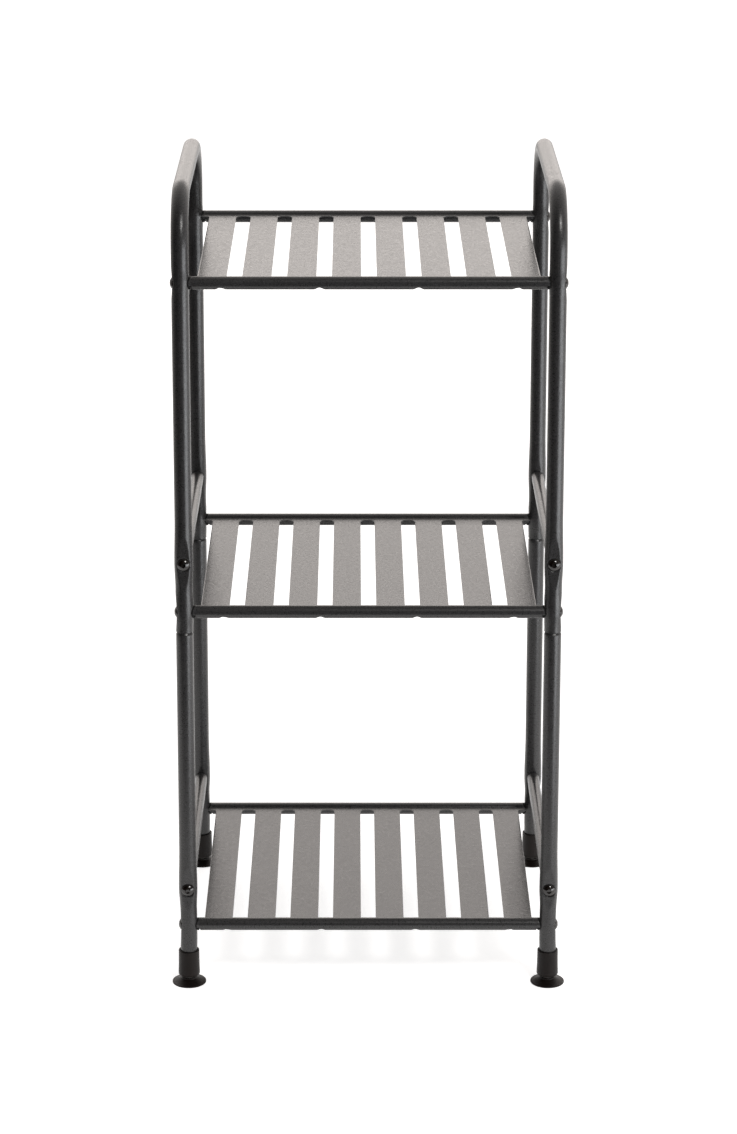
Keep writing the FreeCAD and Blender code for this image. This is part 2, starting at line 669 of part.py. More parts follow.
def levelling_foot(corner, x, y):
    """The stud with its hexagon collar, and the pad in which its disc turns, under one leg."""
    ledge = "pad_floor + 3 * stud_clearance + socket_disc_height"
    stud = turned(f"foot_stud_{corner}", x, y, "0", [
        ("0", "pad_floor + stud_clearance"),
        ("socket_disc / 2", "pad_floor + stud_clearance"),
        ("socket_disc / 2", "pad_floor + stud_clearance + socket_disc_height"),
        ("socket_neck / 2", "pad_floor + stud_clearance + socket_disc_height"),
        ("socket_neck / 2", "pad_height + stud_clearance"),
        ("stud_diameter / 2", "pad_height + stud_clearance"),
        ("stud_diameter / 2", "sleeve_bottom - collar_gap + stud_length"),
        ("0", "sleeve_bottom - collar_gap + stud_length"),
    ])
    collar = sketch_on(stud, f"collar_{corner}", "XY_Plane", "pad_height + stud_clearance")
    hexagon(collar, "collar_width")
    pad(stud, collar, "sleeve_bottom - collar_gap - pad_height - stud_clearance")

    turned(f"foot_pad_{corner}", x, y, "0", [
        ("0", "0"),
        ("pad_diameter / 2", "0"),
        ("pad_diameter / 2", "pad_rim"),
        ("pad_hub / 2", "pad_shoulder"),
        ("pad_hub / 2", "pad_height"),
        ("socket_neck / 2 + stud_clearance", "pad_height"),
        ("socket_neck / 2 + stud_clearance", ledge),
        ("socket_disc / 2 + stud_clearance", ledge),
        ("socket_disc / 2 + stud_clearance", "pad_floor"),
        ("0", "pad_floor"),
    ])


# Assembly

def build():
    """Make every sub-part and return the names of those that are kept."""
    nodes = ["side_frame_left", "side_frame_right"]
    mirror("side_frame_right", side_frame(), ACROSS)

    front_left = lower_leg()
    rear_left = mirror("leg_lower_rear_left", front_left, DEEP)
    mirror("leg_lower_front_right", front_left, ACROSS)
    mirror("leg_lower_rear_right", rear_left, ACROSS)

    levels = {"bottom": BOTTOM, "middle": MIDDLE, "top": TOP}
    shelf_bolts = four_corners("shelf_bolt", bolt("shelf_bolt", ACROSS))
    for level, height in levels.items():
        shelf(f"shelf_{level}", height)
        plug = end_plug(f"{level}_shelf", ACROSS, height, "roll_diameter / 2",
                        "roll_diameter / 2 - sheet_thickness", shelf_pressing(level, "-fit_gap"))
        group(f"shelf_plugs_{level}", four_corners(f"{level}_shelf_plug", plug))
        group(f"shelf_bolts_{level}", shelf_bolts, height)
        nodes += [f"{kind}_{level}" for kind in ("shelf", "shelf_plugs", "shelf_bolts")]

    rails = {"low": LOW_RAIL, "middle": MIDDLE_RAIL}
    rail_bolts = four_corners("rail_bolt", bolt("rail_bolt", DEEP))
    for level, height in rails.items():
        side_rail(f"side_rail_{level}_left", LEFT, height)
        side_rail(f"side_rail_{level}_right", f"-{LEFT}", height)
        plug = end_plug(f"{level}_rail", DEEP, height, "rail_diameter / 2",
                        "rail_diameter / 2 - rail_wall", rail_pressing(level, "-fit_gap"))
        group(f"rail_plugs_{level}", four_corners(f"{level}_rail_plug", plug))
        group(f"rail_bolts_{level}", rail_bolts, height)
        nodes += [f"side_rail_{level}_left", f"side_rail_{level}_right"]
        nodes += [f"{kind}_{level}" for kind in ("rail_plugs", "rail_bolts")]

    group("foot_sleeves", four_corners("foot_sleeve", foot_sleeve()))
    nodes.append("foot_sleeves")
    for depth_name, y in (("front", FRONT), ("rear", f"-{FRONT}")):
        for side_name, x in (("left", LEFT), ("right", f"-{LEFT}")):
            corner = f"{depth_name}_{side_name}"
            levelling_foot(corner, x, y)
            nodes += [f"leg_lower_{corner}", f"foot_stud_{corner}", f"foot_pad_{corner}"]
    return nodes


def check_and_write(nodes):
    """Stop at any failed object or bad shape, then write each sub-part to its own file."""
    doc.recompute()
    for item in doc.Objects:
        if "Invalid" in item.State or "Error" in item.State:
            raise RuntimeError(f"{item.Name} has failed: {item.State}")
    for node in nodes:
        shape = doc.getObject(node).Shape
        if shape.isNull() or not shape.isValid() or not shape.Solids:
            raise RuntimeError(f"{node} has a bad shape")
    os.makedirs("parts", exist_ok=True)
    for node in nodes:
        item = doc.getObject(node)
        item.Label = node
        item.Shape.exportStep(os.path.join("parts", f"{node}.step"))
        print(f"{node}: {len(item.Shape.Solids)} solids, {item.Shape.Volume:.0f} cubic mm")


check_and_write(build())
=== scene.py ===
import math

import bmesh
import bpy
import numpy as np
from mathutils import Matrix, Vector


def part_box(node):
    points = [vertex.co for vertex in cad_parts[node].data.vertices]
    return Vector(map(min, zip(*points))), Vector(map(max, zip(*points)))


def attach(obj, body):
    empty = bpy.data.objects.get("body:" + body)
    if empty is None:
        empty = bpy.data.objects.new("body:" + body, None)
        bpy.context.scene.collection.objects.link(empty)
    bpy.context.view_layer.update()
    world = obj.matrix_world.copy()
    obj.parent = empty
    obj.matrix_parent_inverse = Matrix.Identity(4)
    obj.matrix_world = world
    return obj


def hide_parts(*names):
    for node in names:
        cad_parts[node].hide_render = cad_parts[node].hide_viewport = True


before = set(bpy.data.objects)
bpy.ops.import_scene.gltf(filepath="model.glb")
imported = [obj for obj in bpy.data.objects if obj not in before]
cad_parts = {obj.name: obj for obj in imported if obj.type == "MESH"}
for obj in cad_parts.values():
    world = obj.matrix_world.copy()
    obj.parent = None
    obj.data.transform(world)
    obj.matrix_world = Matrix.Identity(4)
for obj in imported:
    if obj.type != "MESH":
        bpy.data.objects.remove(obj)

bl_info = {
    "name": "Slatted shelving unit",
    "version": (1, 0, 0),
    "blender": (4, 5, 0),
    "location": "3D View > Sidebar > Shelving",
    "description": "Dresses a shelving unit of bent steel tube and slatted sheet shelves",
    "category": "Object",
}

# Lengths are in metres. X runs left to right, Y front to rear and Z up from the floor.

LEVELS = ("bottom", "middle", "top")
RAIL_LEVELS = ("low", "middle")
SIDES = {"left": -1, "right": 1}
DEPTHS = {"front": -1, "rear": 1}
CORNERS = {f"{depth}_{side}": (SIDES[side], DEPTHS[depth]) for depth in DEPTHS for side in SIDES}
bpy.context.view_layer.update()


def middle_of(node):
    """The middle of a CAD node's box."""
    low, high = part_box(node)
    return (low + high) / 2


HALF_WIDTH = middle_of("foot_pad_rear_right").x
HALF_DEPTH = middle_of("foot_pad_rear_right").y
LEG_AXES = {corner: np.array([side * HALF_WIDTH, depth * HALF_DEPTH, 0.0])
            for corner, (side, depth) in CORNERS.items()}
ROLL_HEIGHTS = {level: middle_of(f"shelf_{level}").z for level in LEVELS}
RAIL_HEIGHTS = {level: middle_of(f"side_rail_{level}_left").z for level in RAIL_LEVELS}
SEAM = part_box("side_frame_left")[0].z
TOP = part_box("side_frame_left")[1].z
SLEEVE_LOW, SLEEVE_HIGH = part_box("foot_sleeves")

# How finely the grids follow the shapes: points once round, steps along a leg from fine to far, the rest

LEG_ROUND = 72
RAIL_ROUND = 64
FITTING_ROUND = 48
SLEEVE_ROUND = 72
PAD_ROUND = 96
UPPER_LEG_STEPS = (0.0005, 0.002, 0.008)
LOWER_LEG_STEPS = (0.0005, 0.002, 0.01)
BORE_STEPS = (0.002, 0.004, 0.016)
BEND_POINTS = 31
RUN_POINTS = 10
CURVE_POINTS = 9
ROLL_POINTS = 41
CURL_POINTS = 7
DECK_STEP = 0.0004
SLAT_ROWS = 13
DOME_POINTS = 12
CONE_POINTS = 13
SLEEVE_EDGE_POINTS = 7
PAD_EDGE_POINTS = 5

# Points nearer than this are joined

MERGE = 1e-6

# Fine steps reach past a seat's radius by this factor

SEAT_REACH = 1.25

# Rounds in which a column's place and its cut are settled

SETTLING_ROUNDS = 6

# The rectangle of the roll's grid round a drain hole: its half length in radii, its margin in radians

DRAIN_CLEAR = 1.25
DRAIN_MARGIN = 0.25

# Degrees that a socket is turned: the first one, from bolt to bolt, and for each metre of height

SOCKET_TURNS = (17, 23, 4000)

# A thread's saw: its slope, how far its top is cut down, and its blunt end in thread depths

SAW_SLOPE = 2.4
SAW_CUT = 0.1
SAW_BLUNT = 1.4

# Shading parts at edges sharper than these

CREASE = math.radians(40)
FINE_CREASE = math.radians(35)

QUARTER = math.pi / 2


def length(label, note, size):
    """A length that a user may change."""
    return bpy.props.FloatProperty(
        name=label, description=note, default=size, min=0.0, unit="LENGTH", precision=5)


def share(label, note, size):
    """A factor that a user may change."""
    return bpy.props.FloatProperty(name=label, description=note, default=size, min=0.0, subtype="FACTOR")


def colour(label, note, red, green, blue):
    """A colour that a user may change."""
    return bpy.props.FloatVectorProperty(
        name=label, description=note, default=(red, green, blue), size=3, min=0.0, max=1.0, subtype="COLOR")


class LegSizes(bpy.types.PropertyGroup):
    """Sizes of the side frames and the lower legs."""
    radius: length("Radius", "Outside of the leg tube", 0.008)
    wall: length("Wall", "Wall of the leg tube", 0.0012)
    bend: length("Bend", "Centre line of the bends at the top", 0.048)
    lip: length("Lip", "Broken edge at the end of an upper leg", 0.0004)
    bulge: length("Bulge", "How far a pressed leg widens beside a bolt", 0.00075)
    shelf_press: length("Shelf pressing", "How far a leg is pressed in at a shelf bolt", 0.001)
    rail_press: length("Rail pressing", "How far a leg is pressed in at a rail bolt", 0.0014)
    press_edge: length("Pressing edge", "Rounding where a pressing meets the tube", 0.0004)
    top_reach: length("Top reach", "Half length of the pressing at the top shelf", 0.014)
    tail: length("Tail", "Length of the pressing above a rail bolt", 0.042)
    margin: length("Margin", "Round tube left between a pressing and a tube end", 0.002)
    seat_depth: length("Seat depth", "Tube surface to the flat seat of a bolt", 0.002)
    seat_radius: length("Seat radius", "Round seat of a bolt", 0.0065)
    seat_edge: length("Seat edge", "Width over which a seat's rim falls", 0.0003)
    seam_gap: length("Seam gap", "Gap between an upper and a lower leg", 0.0003)
    rim: length("Rim", "Height of the drawn-in shoulder of a lower leg", 0.0022)
    rim_depth: length("Rim depth", "How far that shoulder is drawn in", 0.0011)
    rim_softness: share("Rim softness", "Round start of that shoulder, as a share of its height", 0.25)
    spigot: length("Spigot", "Part of a lower leg inside the upper one", 0.035)
    spigot_gap: length("Spigot gap", "Spigot to the bore around it", 0.0001)
    slot_face: length("Slot face", "Leg axis to the open side of the spigot", 0.0045)
    slot_start: length("Slot start", "Seam to the lower end of the spigot's slot", 0.003)


class ShelfSizes(bpy.types.PropertyGroup):
    """Sizes of a shelf's sheet."""
    roll: length("Roll", "Outside radius of a rolled edge", 0.006)
    sheet: length("Sheet", "Thickness of the sheet", 0.001)
    deck: length("Deck", "Roll axis up to the upper face of the deck", 0.0026)
    join: length("Join", "Hollow curve where the deck turns up into its roll", 0.0016)
    free_edge: length("Free edge", "Roll axis up to the free edge of the curl", 0.0008)
    margin: length("Margin", "Leg axis to the end of a rolled edge", 0.007)
    slat: length("Slat", "Width of a slat", 0.0265)
    slot: length("Slot", "Width of a slot", 0.014)
    rear_border: length("Rear border", "Rear roll's axis to the rear end of a slot", 0.0105)
    front_border: length("Front border", "Front roll's axis to the front end of a slot", 0.004)
    corner: length("Corner", "Corner radius of a slot", 0.0045)
    lip_trim: length("Lip trim", "How much shorter the lower half of a roll is", 0.002)
    lip_drop: length("Lip drop", "Roll axis down to that shorter lip", 0.0015)
    drain: length("Drain", "Radius of a hole in the underside of the front roll", 0.005)
    drain_spacing: length("Drain spacing", "Hole to hole along the front roll", 0.089)
    rounding: length("Rounding", "Width over which the punched edges turn down", 0.0011)
    turn_down: length("Turn-down", "How far the punched edges turn down", 0.00028)
    slots: bpy.props.IntProperty(name="Slots", description="Slots in a deck", default=7, min=1)
    drains: bpy.props.IntProperty(name="Drains", description="Holes along a front roll", default=4, min=0)


class FittingSizes(bpy.types.PropertyGroup):
    """Sizes of the rails, plugs and bolts."""
    rail: length("Rail", "Outside radius of a side rail", 0.006)
    rail_wall: length("Rail wall", "Wall of a side rail", 0.001)
    flange: length("Flange", "Thickness of an end plug between leg and tube", 0.002)
    flange_edge: length("Flange edge", "Broken edge of that flange", 0.00025)
    plug: length("Plug", "Part of an end plug inside its tube", 0.017)
    plug_tip: length("Plug tip", "Chamfer at the end of a plug", 0.0006)
    gap: length("Gap", "Gap between seated pieces", 0.00005)
    bolt: length("Bolt", "Shank radius of a bolt", 0.003)
    bolt_length: length("Bolt length", "Bolt from under its head to its tip", 0.03)
    bolt_tip: length("Bolt tip", "Chamfer at the tip of a bolt", 0.0005)
    head: length("Head", "Radius of a bolt's head", 0.006)
    head_height: length("Head height", "Height of a bolt's head", 0.00339)
    head_rim: length("Head rim", "Straight edge under the dome", 0.0005)
    socket: length("Socket", "Hexagon socket across its flats", 0.004)
    socket_depth: length("Socket depth", "Depth of the hexagon socket", 0.002)
    socket_point: length("Socket point", "Drill point under the socket", 0.0003)
    socket_edge: length("Socket edge", "Broken edge of the socket", 0.0001)


class FootSizes(bpy.types.PropertyGroup):
    """Sizes of the sleeves, studs and pads."""
    sleeve_edge: length("Sleeve edge", "Rounded lower edge of a sleeve", 0.0014)
    sleeve_lip: length("Sleeve lip", "Rounded upper edge of a sleeve", 0.0005)
    sleeve_floor: length("Sleeve floor", "Thickness of a sleeve under its leg", 0.0025)
    sleeve_taper: length("Sleeve taper", "How much narrower a sleeve is at its top", 0.00045)
    sleeve_hollow: length("Sleeve hollow", "How far a sleeve's wall curves in", 0.00012)
    boss: length("Boss", "Height of the boss inside the leg", 0.012)
    boss_edge: length("Boss edge", "Chamfer of that boss", 0.0005)
    stud: length("Stud", "Outside radius of a stud's thread", 0.004)
    pitch: length("Pitch", "Rise of the thread in one turn", 0.00125)
    thread: length("Thread", "Depth of the thread", 0.0006)
    collar: length("Collar", "Hexagon collar across its flats", 0.013)
    collar_edge: length("Collar edge", "Chamfer of the collar, across", 0.0003)
    collar_gap: length("Collar gap", "Collar to the sleeve above it", 0.0003)
    neck: length("Neck", "Radius of a stud's neck in its pad", 0.0032)
    disc: length("Disc", "Radius of the disc that holds a stud in its pad", 0.0043)
    disc_height: length("Disc height", "Thickness of that disc", 0.0012)
    running_gap: length("Running gap", "Gap round a stud", 0.00008)
    pad_floor: length("Pad floor", "Pad under its stud", 0.0012)
    pad_rim: length("Pad rim", "Straight rim of a pad", 0.0013)
    pad_edge: length("Pad edge", "Rounded edges of a pad", 0.00035)
    pad_ring: length("Pad ring", "Width of the ring that a pad stands on", 0.0052)
    pad_slope: length("Pad slope", "Width of the slope inside that ring", 0.0008)
    pad_recess: length("Pad recess", "Height of the recess inside that ring", 0.0006)
    pad_shoulder: length("Pad shoulder", "Height where a pad's cone meets its hub", 0.0046)
    pad_hollow: share("Pad hollow", "How far a pad's cone sinks in, as a share of its rise", 0.12)
    hub: length("Hub", "Radius of a pad's hub", 0.0075)
    hub_draft: length("Hub draft", "Half of how much a pad's hub narrows upwards", 0.0001)


class Finishes(bpy.types.PropertyGroup):
    """Colours and gloss of the pieces."""
    coat: colour("Coat", "Anthracite powder coat", 0.0275, 0.0265, 0.0268)
    fleck: colour("Fleck", "Metal flecks in the coat", 0.13, 0.132, 0.138)
    worn: colour("Worn", "Coat where edges are rubbed", 0.075, 0.075, 0.078)
    plastic: colour("Plastic", "Moulded sleeves and pads", 0.0075, 0.0043, 0.0032)
    plug: colour("Plug", "Moulded end plugs", 0.006, 0.006, 0.006)
    bolt: colour("Bolt", "Blackened steel of the bolts", 0.006, 0.0045, 0.004)
    bolt_edge: colour("Bolt edge", "Blackened steel where edges are rubbed", 0.05, 0.042, 0.038)
    stud: colour("Stud", "Black zinc on the studs", 0.05, 0.047, 0.045)
    coat_gloss: share("Coat roughness", "Roughness of the powder coat", 0.3)


class StageSettings(bpy.types.PropertyGroup):
    """Light and camera."""
    floor: colour("Floor", "Plain pale floor", 0.86, 0.86, 0.86)
    lift: share("Lift", "How white the floor is made where it is seen", 0.7)
    lens: bpy.props.FloatProperty(
        name="Lens", description="Focal length of the camera", default=106.5, unit="CAMERA")
    eye: bpy.props.FloatVectorProperty(
        name="Eye", description="Where the camera stands", default=(-0.014, -3.083, 1.36), subtype="XYZ",
        unit="LENGTH")
    pitch: bpy.props.FloatProperty(
        name="Pitch", description="How far the camera looks down", default=math.radians(14.96),
        unit="ROTATION")
    shift: bpy.props.FloatVectorProperty(
        name="Shift", description="Camera shift across and up the picture", default=(0.0132, -0.15), size=2)


GROUPS = {"shelving_legs": LegSizes, "shelving_shelf": ShelfSizes, "shelving_fittings": FittingSizes,
          "shelving_feet": FootSizes, "shelving_finishes": Finishes, "shelving_stage": StageSettings}


# Meshes from grids of points

def turn_of(count):
    """Angles once round, with the first one again at the end."""
    return np.linspace(0.0, 2 * math.pi, count + 1)


def points(x, y, z):
    """Points from three coordinates, spread to one shape."""
    return np.stack(np.broadcast_arrays(x, y, z), axis=-1)


def round_points(radius, angles, height):
    """Points about the Z axis from radii, angles and heights."""
    return points(radius * np.cos(angles), radius * np.sin(angles), height)


def turned(rows, count):
    """Rings about the Z axis from rows of radius and height; a hexagon where a row says so.

    A round ring lies at its radius at every angle. On a hexagon the radius is the distance to the
    flats over the cosine of the angle from the nearest flat's middle.
    """
    angles = turn_of(count)
    flat = 1 / np.cos((angles + math.pi / 6) % (math.pi / 3) - math.pi / 6)
    return np.stack([round_points(radius * flat if shape else radius, angles, height)
                     for radius, height, *shape in rows])


def lower_edge(radius, height, soft, turn):
    """Rows out round a lower edge: a quarter circle that starts level and ends upright."""
    return [(radius - soft * (1 - math.sin(step)), height + soft * (1 - math.cos(step))) for step in turn]


def upper_edge(radius, height, soft, turn):
    """Rows in round an upper edge: a quarter circle that starts upright and ends level."""
    return [(radius - soft * (1 - math.cos(step)), height - soft * (1 - math.sin(step))) for step in turn]


def soft_min(values, limit, blend):
    """The smaller of two arrays, with their crossing rounded over a length.

    Between them by the share h, less blend times h times one less h.
    """
    h = np.clip(0.5 + 0.5 * (limit - values) / blend, 0.0, 1.0)
    return limit * (1 - h) + values * h - blend * h * (1 - h)


def weave(grid, keep=None):
    """The quads of a grid of points, or those where keep is true."""
    rows, columns = grid.shape[:2]
    index = np.arange(rows * columns).reshape(rows, columns)
    quads = np.stack([index[:-1, :-1], index[:-1, 1:], index[1:, 1:], index[1:, :-1]], axis=-1)
    return quads.reshape(-1, 4) if keep is None else quads[keep]


def surface(name, patches, outward=True):
    """An object from grids of points, each with a mask of its quads or none, joined where they meet."""
    vertices, quads, start = [], [], 0
    for grid, keep in patches:
        quads.append(weave(grid, keep) + start)
        vertices.append(grid.reshape(-1, 3))
        start += len(vertices[-1])
    mesh = bpy.data.meshes.new(name)
    mesh.from_pydata(np.concatenate(vertices).tolist(), [], np.concatenate(quads).tolist())
    work = bmesh.new()
    work.from_mesh(mesh)
    bmesh.ops.remove_doubles(work, verts=work.verts, dist=MERGE)
    loose = [vert for vert in work.verts if not vert.link_faces]
    bmesh.ops.delete(work, geom=loose, context="VERTS")
    if outward:
        bmesh.ops.recalc_face_normals(work, faces=work.faces)
    work.to_mesh(mesh)
    work.free()
    mesh.shade_smooth()
    piece = bpy.data.objects.new(name, mesh)
    bpy.context.scene.collection.objects.link(piece)
    return piece


def solid(name, grids, crease=CREASE):
    """An object from closed grids, its shading parted at edges sharper than the crease."""
    piece = surface(name, [(grid, None) for grid in grids])
    piece.data.set_sharp_from_angle(angle=crease)
    return piece


def thicken(piece, wall, even=False):
    """Give a surface its wall on the inner side, and part its shading at the crease."""
    modifier = piece.modifiers.new("Wall", "SOLIDIFY")
    modifier.thickness = wall
    modifier.offset = -1
    modifier.use_even_offset = even
    graph = bpy.context.evaluated_depsgraph_get()
    final = bpy.data.meshes.new_from_object(piece.evaluated_get(graph))
    piece.modifiers.clear()
    piece.data = final
    piece.data.set_sharp_from_angle(angle=CREASE)
    return piece


def dress(piece, body, slot, material, *nodes):
    """Give a piece its material and its body, in place of CAD nodes."""
    piece.data.materials.clear()
    piece.data.materials.append(material)
    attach(piece, body)
    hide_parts(*nodes)


# Legs

def stations(legs, kind):
    """Bolts of an upper or lower leg: height, axis, pressed depth, reach below and above.

    The axis is 0 for a shelf bolt, which comes in from the side, and 1 for a rail bolt.
    """
    shelf, rail, end = ("middle", "middle", SEAM) if kind == "upper" else ("bottom", "low", SLEEVE_HIGH.z)
    roll, bar = ROLL_HEIGHTS[shelf], RAIL_HEIGHTS[rail]
    between = (bar - roll) / 2
    bolts = [(roll, 0, legs.shelf_press, roll - end - legs.margin, between),
             (bar, 1, legs.rail_press, between, legs.tail)]
    if kind == "upper":
        bolts.append((ROLL_HEIGHTS["top"], 0, legs.shelf_press, legs.top_reach, legs.top_reach))
    return bolts


def swelling(away, below, above):
    """The squared cosine of the way out from a bolt to its pressing's end, below or above."""
    return np.cos(QUARTER * np.clip(away / np.where(away < 0, below, above), -1, 1)) ** 2


def pressed_section(legs, heights, angles, radius, bolts, inner=False):
    """Distances of a leg's surface from its axis, towards the shelf bolts' side and the rail bolts' side.

    A circle whose radius grows near each bolt by the bulge times the squared cosine of the way out
    to the pressing's end. Towards the bolt it is held back by a flat arc that is deepest at the bolt
    and rises with the square of the distance, on the other side by the like arc that only touches the
    tube, and inside the seat's circle by the flat of the seat.
    """
    swell = np.zeros_like(heights)
    for height, *rest, below, above in bolts:
        swell = np.maximum(swell, swelling(heights - height, below, above))
    around = radius + (0.0 if inner else legs.bulge) * swell[:, None]
    sides = [around * np.cos(angles), around * np.sin(angles)]
    inset = legs.radius - radius
    for height, axis, depth, below, above in bolts:
        away = (heights - height)[:, None]
        arc = away ** 2 * depth / below ** 2
        pressed, beside = sides[axis], sides[1 - axis]
        pressed = soft_min(pressed, legs.radius - depth - inset + arc, legs.press_edge)
        pressed = -soft_min(-pressed, legs.radius - inset + arc, legs.press_edge)
        from_bolt = np.sqrt(away ** 2 + beside ** 2)
        seat_radius = legs.seat_radius + (inset if inner else 0.0)
        in_seat = np.clip((seat_radius - from_bolt) / legs.seat_edge + 0.5, 0, 1)
        seat = np.minimum(pressed, legs.radius - legs.seat_depth - inset)
        sides[axis] = pressed + (seat - pressed) * in_seat
    return sides


def steps_between(low, high, bolts, seat, steps):
    """Heights from low to high: fine steps over the seats, near ones over the pressings, far ones between."""
    fine, near, far = steps
    marks = np.arange(low, high, fine)
    wanted = np.full_like(marks, far)
    for height, *rest, below, above in bolts:
        wanted[(marks > height - below - near) & (marks < height + above + near)] = near
    for height, *rest in bolts:
        wanted[np.abs(marks - height) < seat * SEAT_REACH] = fine
    taken = np.floor(np.cumsum(fine / wanted) + 1e-9)
    chosen = marks[np.flatnonzero(np.diff(taken, prepend=-1))]
    return np.append(chosen[:-1] if high - chosen[-1] < fine / 2 else chosen, high)


def arch_lengths(legs):
    """Lengths of a side frame's centre line: a leg, a quarter circle and the level run."""
    return TOP - legs.radius - legs.bend - SEAM, legs.bend * QUARTER, 2 * (HALF_DEPTH - legs.bend)


def arch_points(legs, along, across, outward, side):
    """Points of a side frame's tube from the distance along it and two distances from its centre line.

    The centre line goes up the front leg, round a quarter circle, level to the rear, round another
    quarter circle and down the rear leg. Outward points away from the inside of the arch, so it
    turns from the front over the top to the rear with the angle that the tube has bent.
    """
    leg, quarter, run = arch_lengths(legs)
    first = np.clip((along - leg) / legs.bend, 0, QUARTER)
    second = np.clip((along - leg - quarter - run) / legs.bend, 0, QUARTER)
    level = np.clip(along - leg - quarter, 0, run)
    down = np.clip(along - leg - 2 * quarter - run, 0, leg)
    y = -HALF_DEPTH + legs.bend * (1 - np.cos(first)) + level + legs.bend * np.sin(second)
    z = SEAM + np.clip(along, 0, leg) + legs.bend * np.sin(first) - legs.bend * (1 - np.cos(second)) - down
    bent = (first + second)[:, None]
    return points(side * (HALF_WIDTH + across), y[:, None] - outward * np.cos(bent),
                  z[:, None] + outward * np.sin(bent))


def side_frame(legs, side, name):
    """One bent tube: its outer wall, with pressings and bolt seats, and its bore."""
    angles = turn_of(LEG_ROUND)
    leg, quarter, run = arch_lengths(legs)
    total = 2 * leg + 2 * quarter + run
    bolts = [(height - SEAM, *rest) for height, *rest in stations(legs, "upper")]

    def wall(radius, steps, inner):
        """Distances along the tube from end to end, and its section there."""
        climb = steps_between(0.0, leg, bolts, legs.seat_radius, steps)
        bend = leg + np.linspace(0, quarter, BEND_POINTS)[1:]
        half = np.concatenate([climb, bend, leg + quarter + np.linspace(0, run / 2, RUN_POINTS)[1:]])
        along = np.concatenate([half, (total - half[:-1])[::-1]])
        return along, *pressed_section(legs, np.minimum(along, total - along), angles, radius, bolts, inner)

    along, *section = wall(legs.radius, UPPER_LEG_STEPS, False)
    ends = (1, len(along) - 1)
    along = np.insert(along, ends, (legs.lip, total - legs.lip))
    for index, part in enumerate(section):
        part = np.insert(part, ends, part[[1, -2]], axis=0)
        part[[0, -1]] *= 1 - legs.lip / legs.radius
        section[index] = part
    outer = arch_points(legs, along, *section, side)
    along, *section = wall(legs.radius - legs.wall, BORE_STEPS, True)
    bore = arch_points(legs, along, *section, side)
    return solid(name, [np.concatenate([outer, bore[::-1], outer[:1]])])


def lower_leg(legs, corner, name):
    """A straight tube whose shoulder is drawn in to a spigot, open on one side round the bolt above.

    The shoulder draws in with the root of the squared height and the squared softness, less the
    softness: it starts upright and goes on as a cone.
    """
    side, depth = CORNERS[corner]
    angles = turn_of(LEG_ROUND)
    bolts = stations(legs, "lower")
    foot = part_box(f"leg_lower_{corner}")[0].z
    shoulder = SEAM - legs.seam_gap
    straight = steps_between(foot, shoulder - legs.rim, bolts, legs.seat_radius, LOWER_LEG_STEPS)
    tube = points(*pressed_section(legs, straight, angles, legs.radius, bolts), straight[:, None])
    up = np.linspace(0, 1, CURVE_POINTS)[1:, None]
    soft = legs.rim_softness
    drawn = (np.hypot(up, soft) - soft) / (math.hypot(1, soft) - soft)
    rim = round_points(legs.radius - legs.rim_depth * drawn, angles, shoulder - legs.rim * (1 - up))
    rise = np.linspace(SEAM + legs.slot_start, SEAM + legs.spigot, CURVE_POINTS)
    bore = legs.radius - legs.wall - legs.spigot_gap
    spigot = round_points(bore, angles, np.append(shoulder, rise)[:, None])
    grid = np.concatenate([tube, rim, spigot])
    keep = np.ones((len(grid) - 1, len(angles) - 1), bool)
    open_side = bore * np.cos((angles[1:] + angles[:-1]) / 2) > legs.slot_face
    keep[-(len(rise) - 1):, open_side] = False
    grid = grid * np.array([side, depth, 1]) + LEG_AXES[corner]
    if side * depth < 0:
        grid = grid[:, ::-1]
        keep = keep[:, ::-1]
    return thicken(surface(name, [(grid, keep)], outward=False), legs.wall)


# Shelves

def deck_columns(shelf, lip_end):
    """X of the sheet's columns, how far the deck's cut edge is set back there, and the slats.

    The slats come as the first and the end column of each, with the outer edge of the last one. The
    last two columns of each side are the ends of the lower and of the upper lip. Round a slot's corner
    the column moves out with the sine of the turn, and the cut edge comes back by the corner radius
    less its cosine share.
    """
    turn = np.linspace(0, QUARTER, CURVE_POINTS)
    out = shelf.corner * np.sin(turn)
    back = shelf.corner * (1 - np.cos(turn))
    pitch = shelf.slat + shelf.slot
    edge = shelf.slots / 2 * pitch + shelf.slat / 2
    end = HALF_WIDTH - shelf.margin
    rest = np.linspace(edge + shelf.corner, lip_end, 3)[1:]
    near = shelf.rounding * np.array([0.25, 0.6, 1.0])
    middle = shelf.slat * np.linspace(0, 1, 5)[1:-1]
    inner = np.concatenate([near, middle, shelf.slat - near[::-1]])
    x = [[-end], -rest[::-1], -edge - shelf.corner + out]
    inset = [np.zeros(3), back]
    slats = []
    for slat in range(shelf.slots + 1):
        start = sum(len(part) for part in x) - 1
        slats.append((start, start + len(inner) + 2))
        left = -edge + slat * pitch
        right = left + shelf.slat + shelf.corner
        x += [left + inner, right - out[::-1]]
        inset += [np.full(len(inner), shelf.corner), back[::-1]]
        if slat < shelf.slots:
            x.append(right + 2 * (shelf.slot / 2 - shelf.corner) + out)
            inset.append(back)
    x += [rest, [end]]
    inset.append(np.zeros(3))
    return np.concatenate(x), np.concatenate(inset), slats, edge


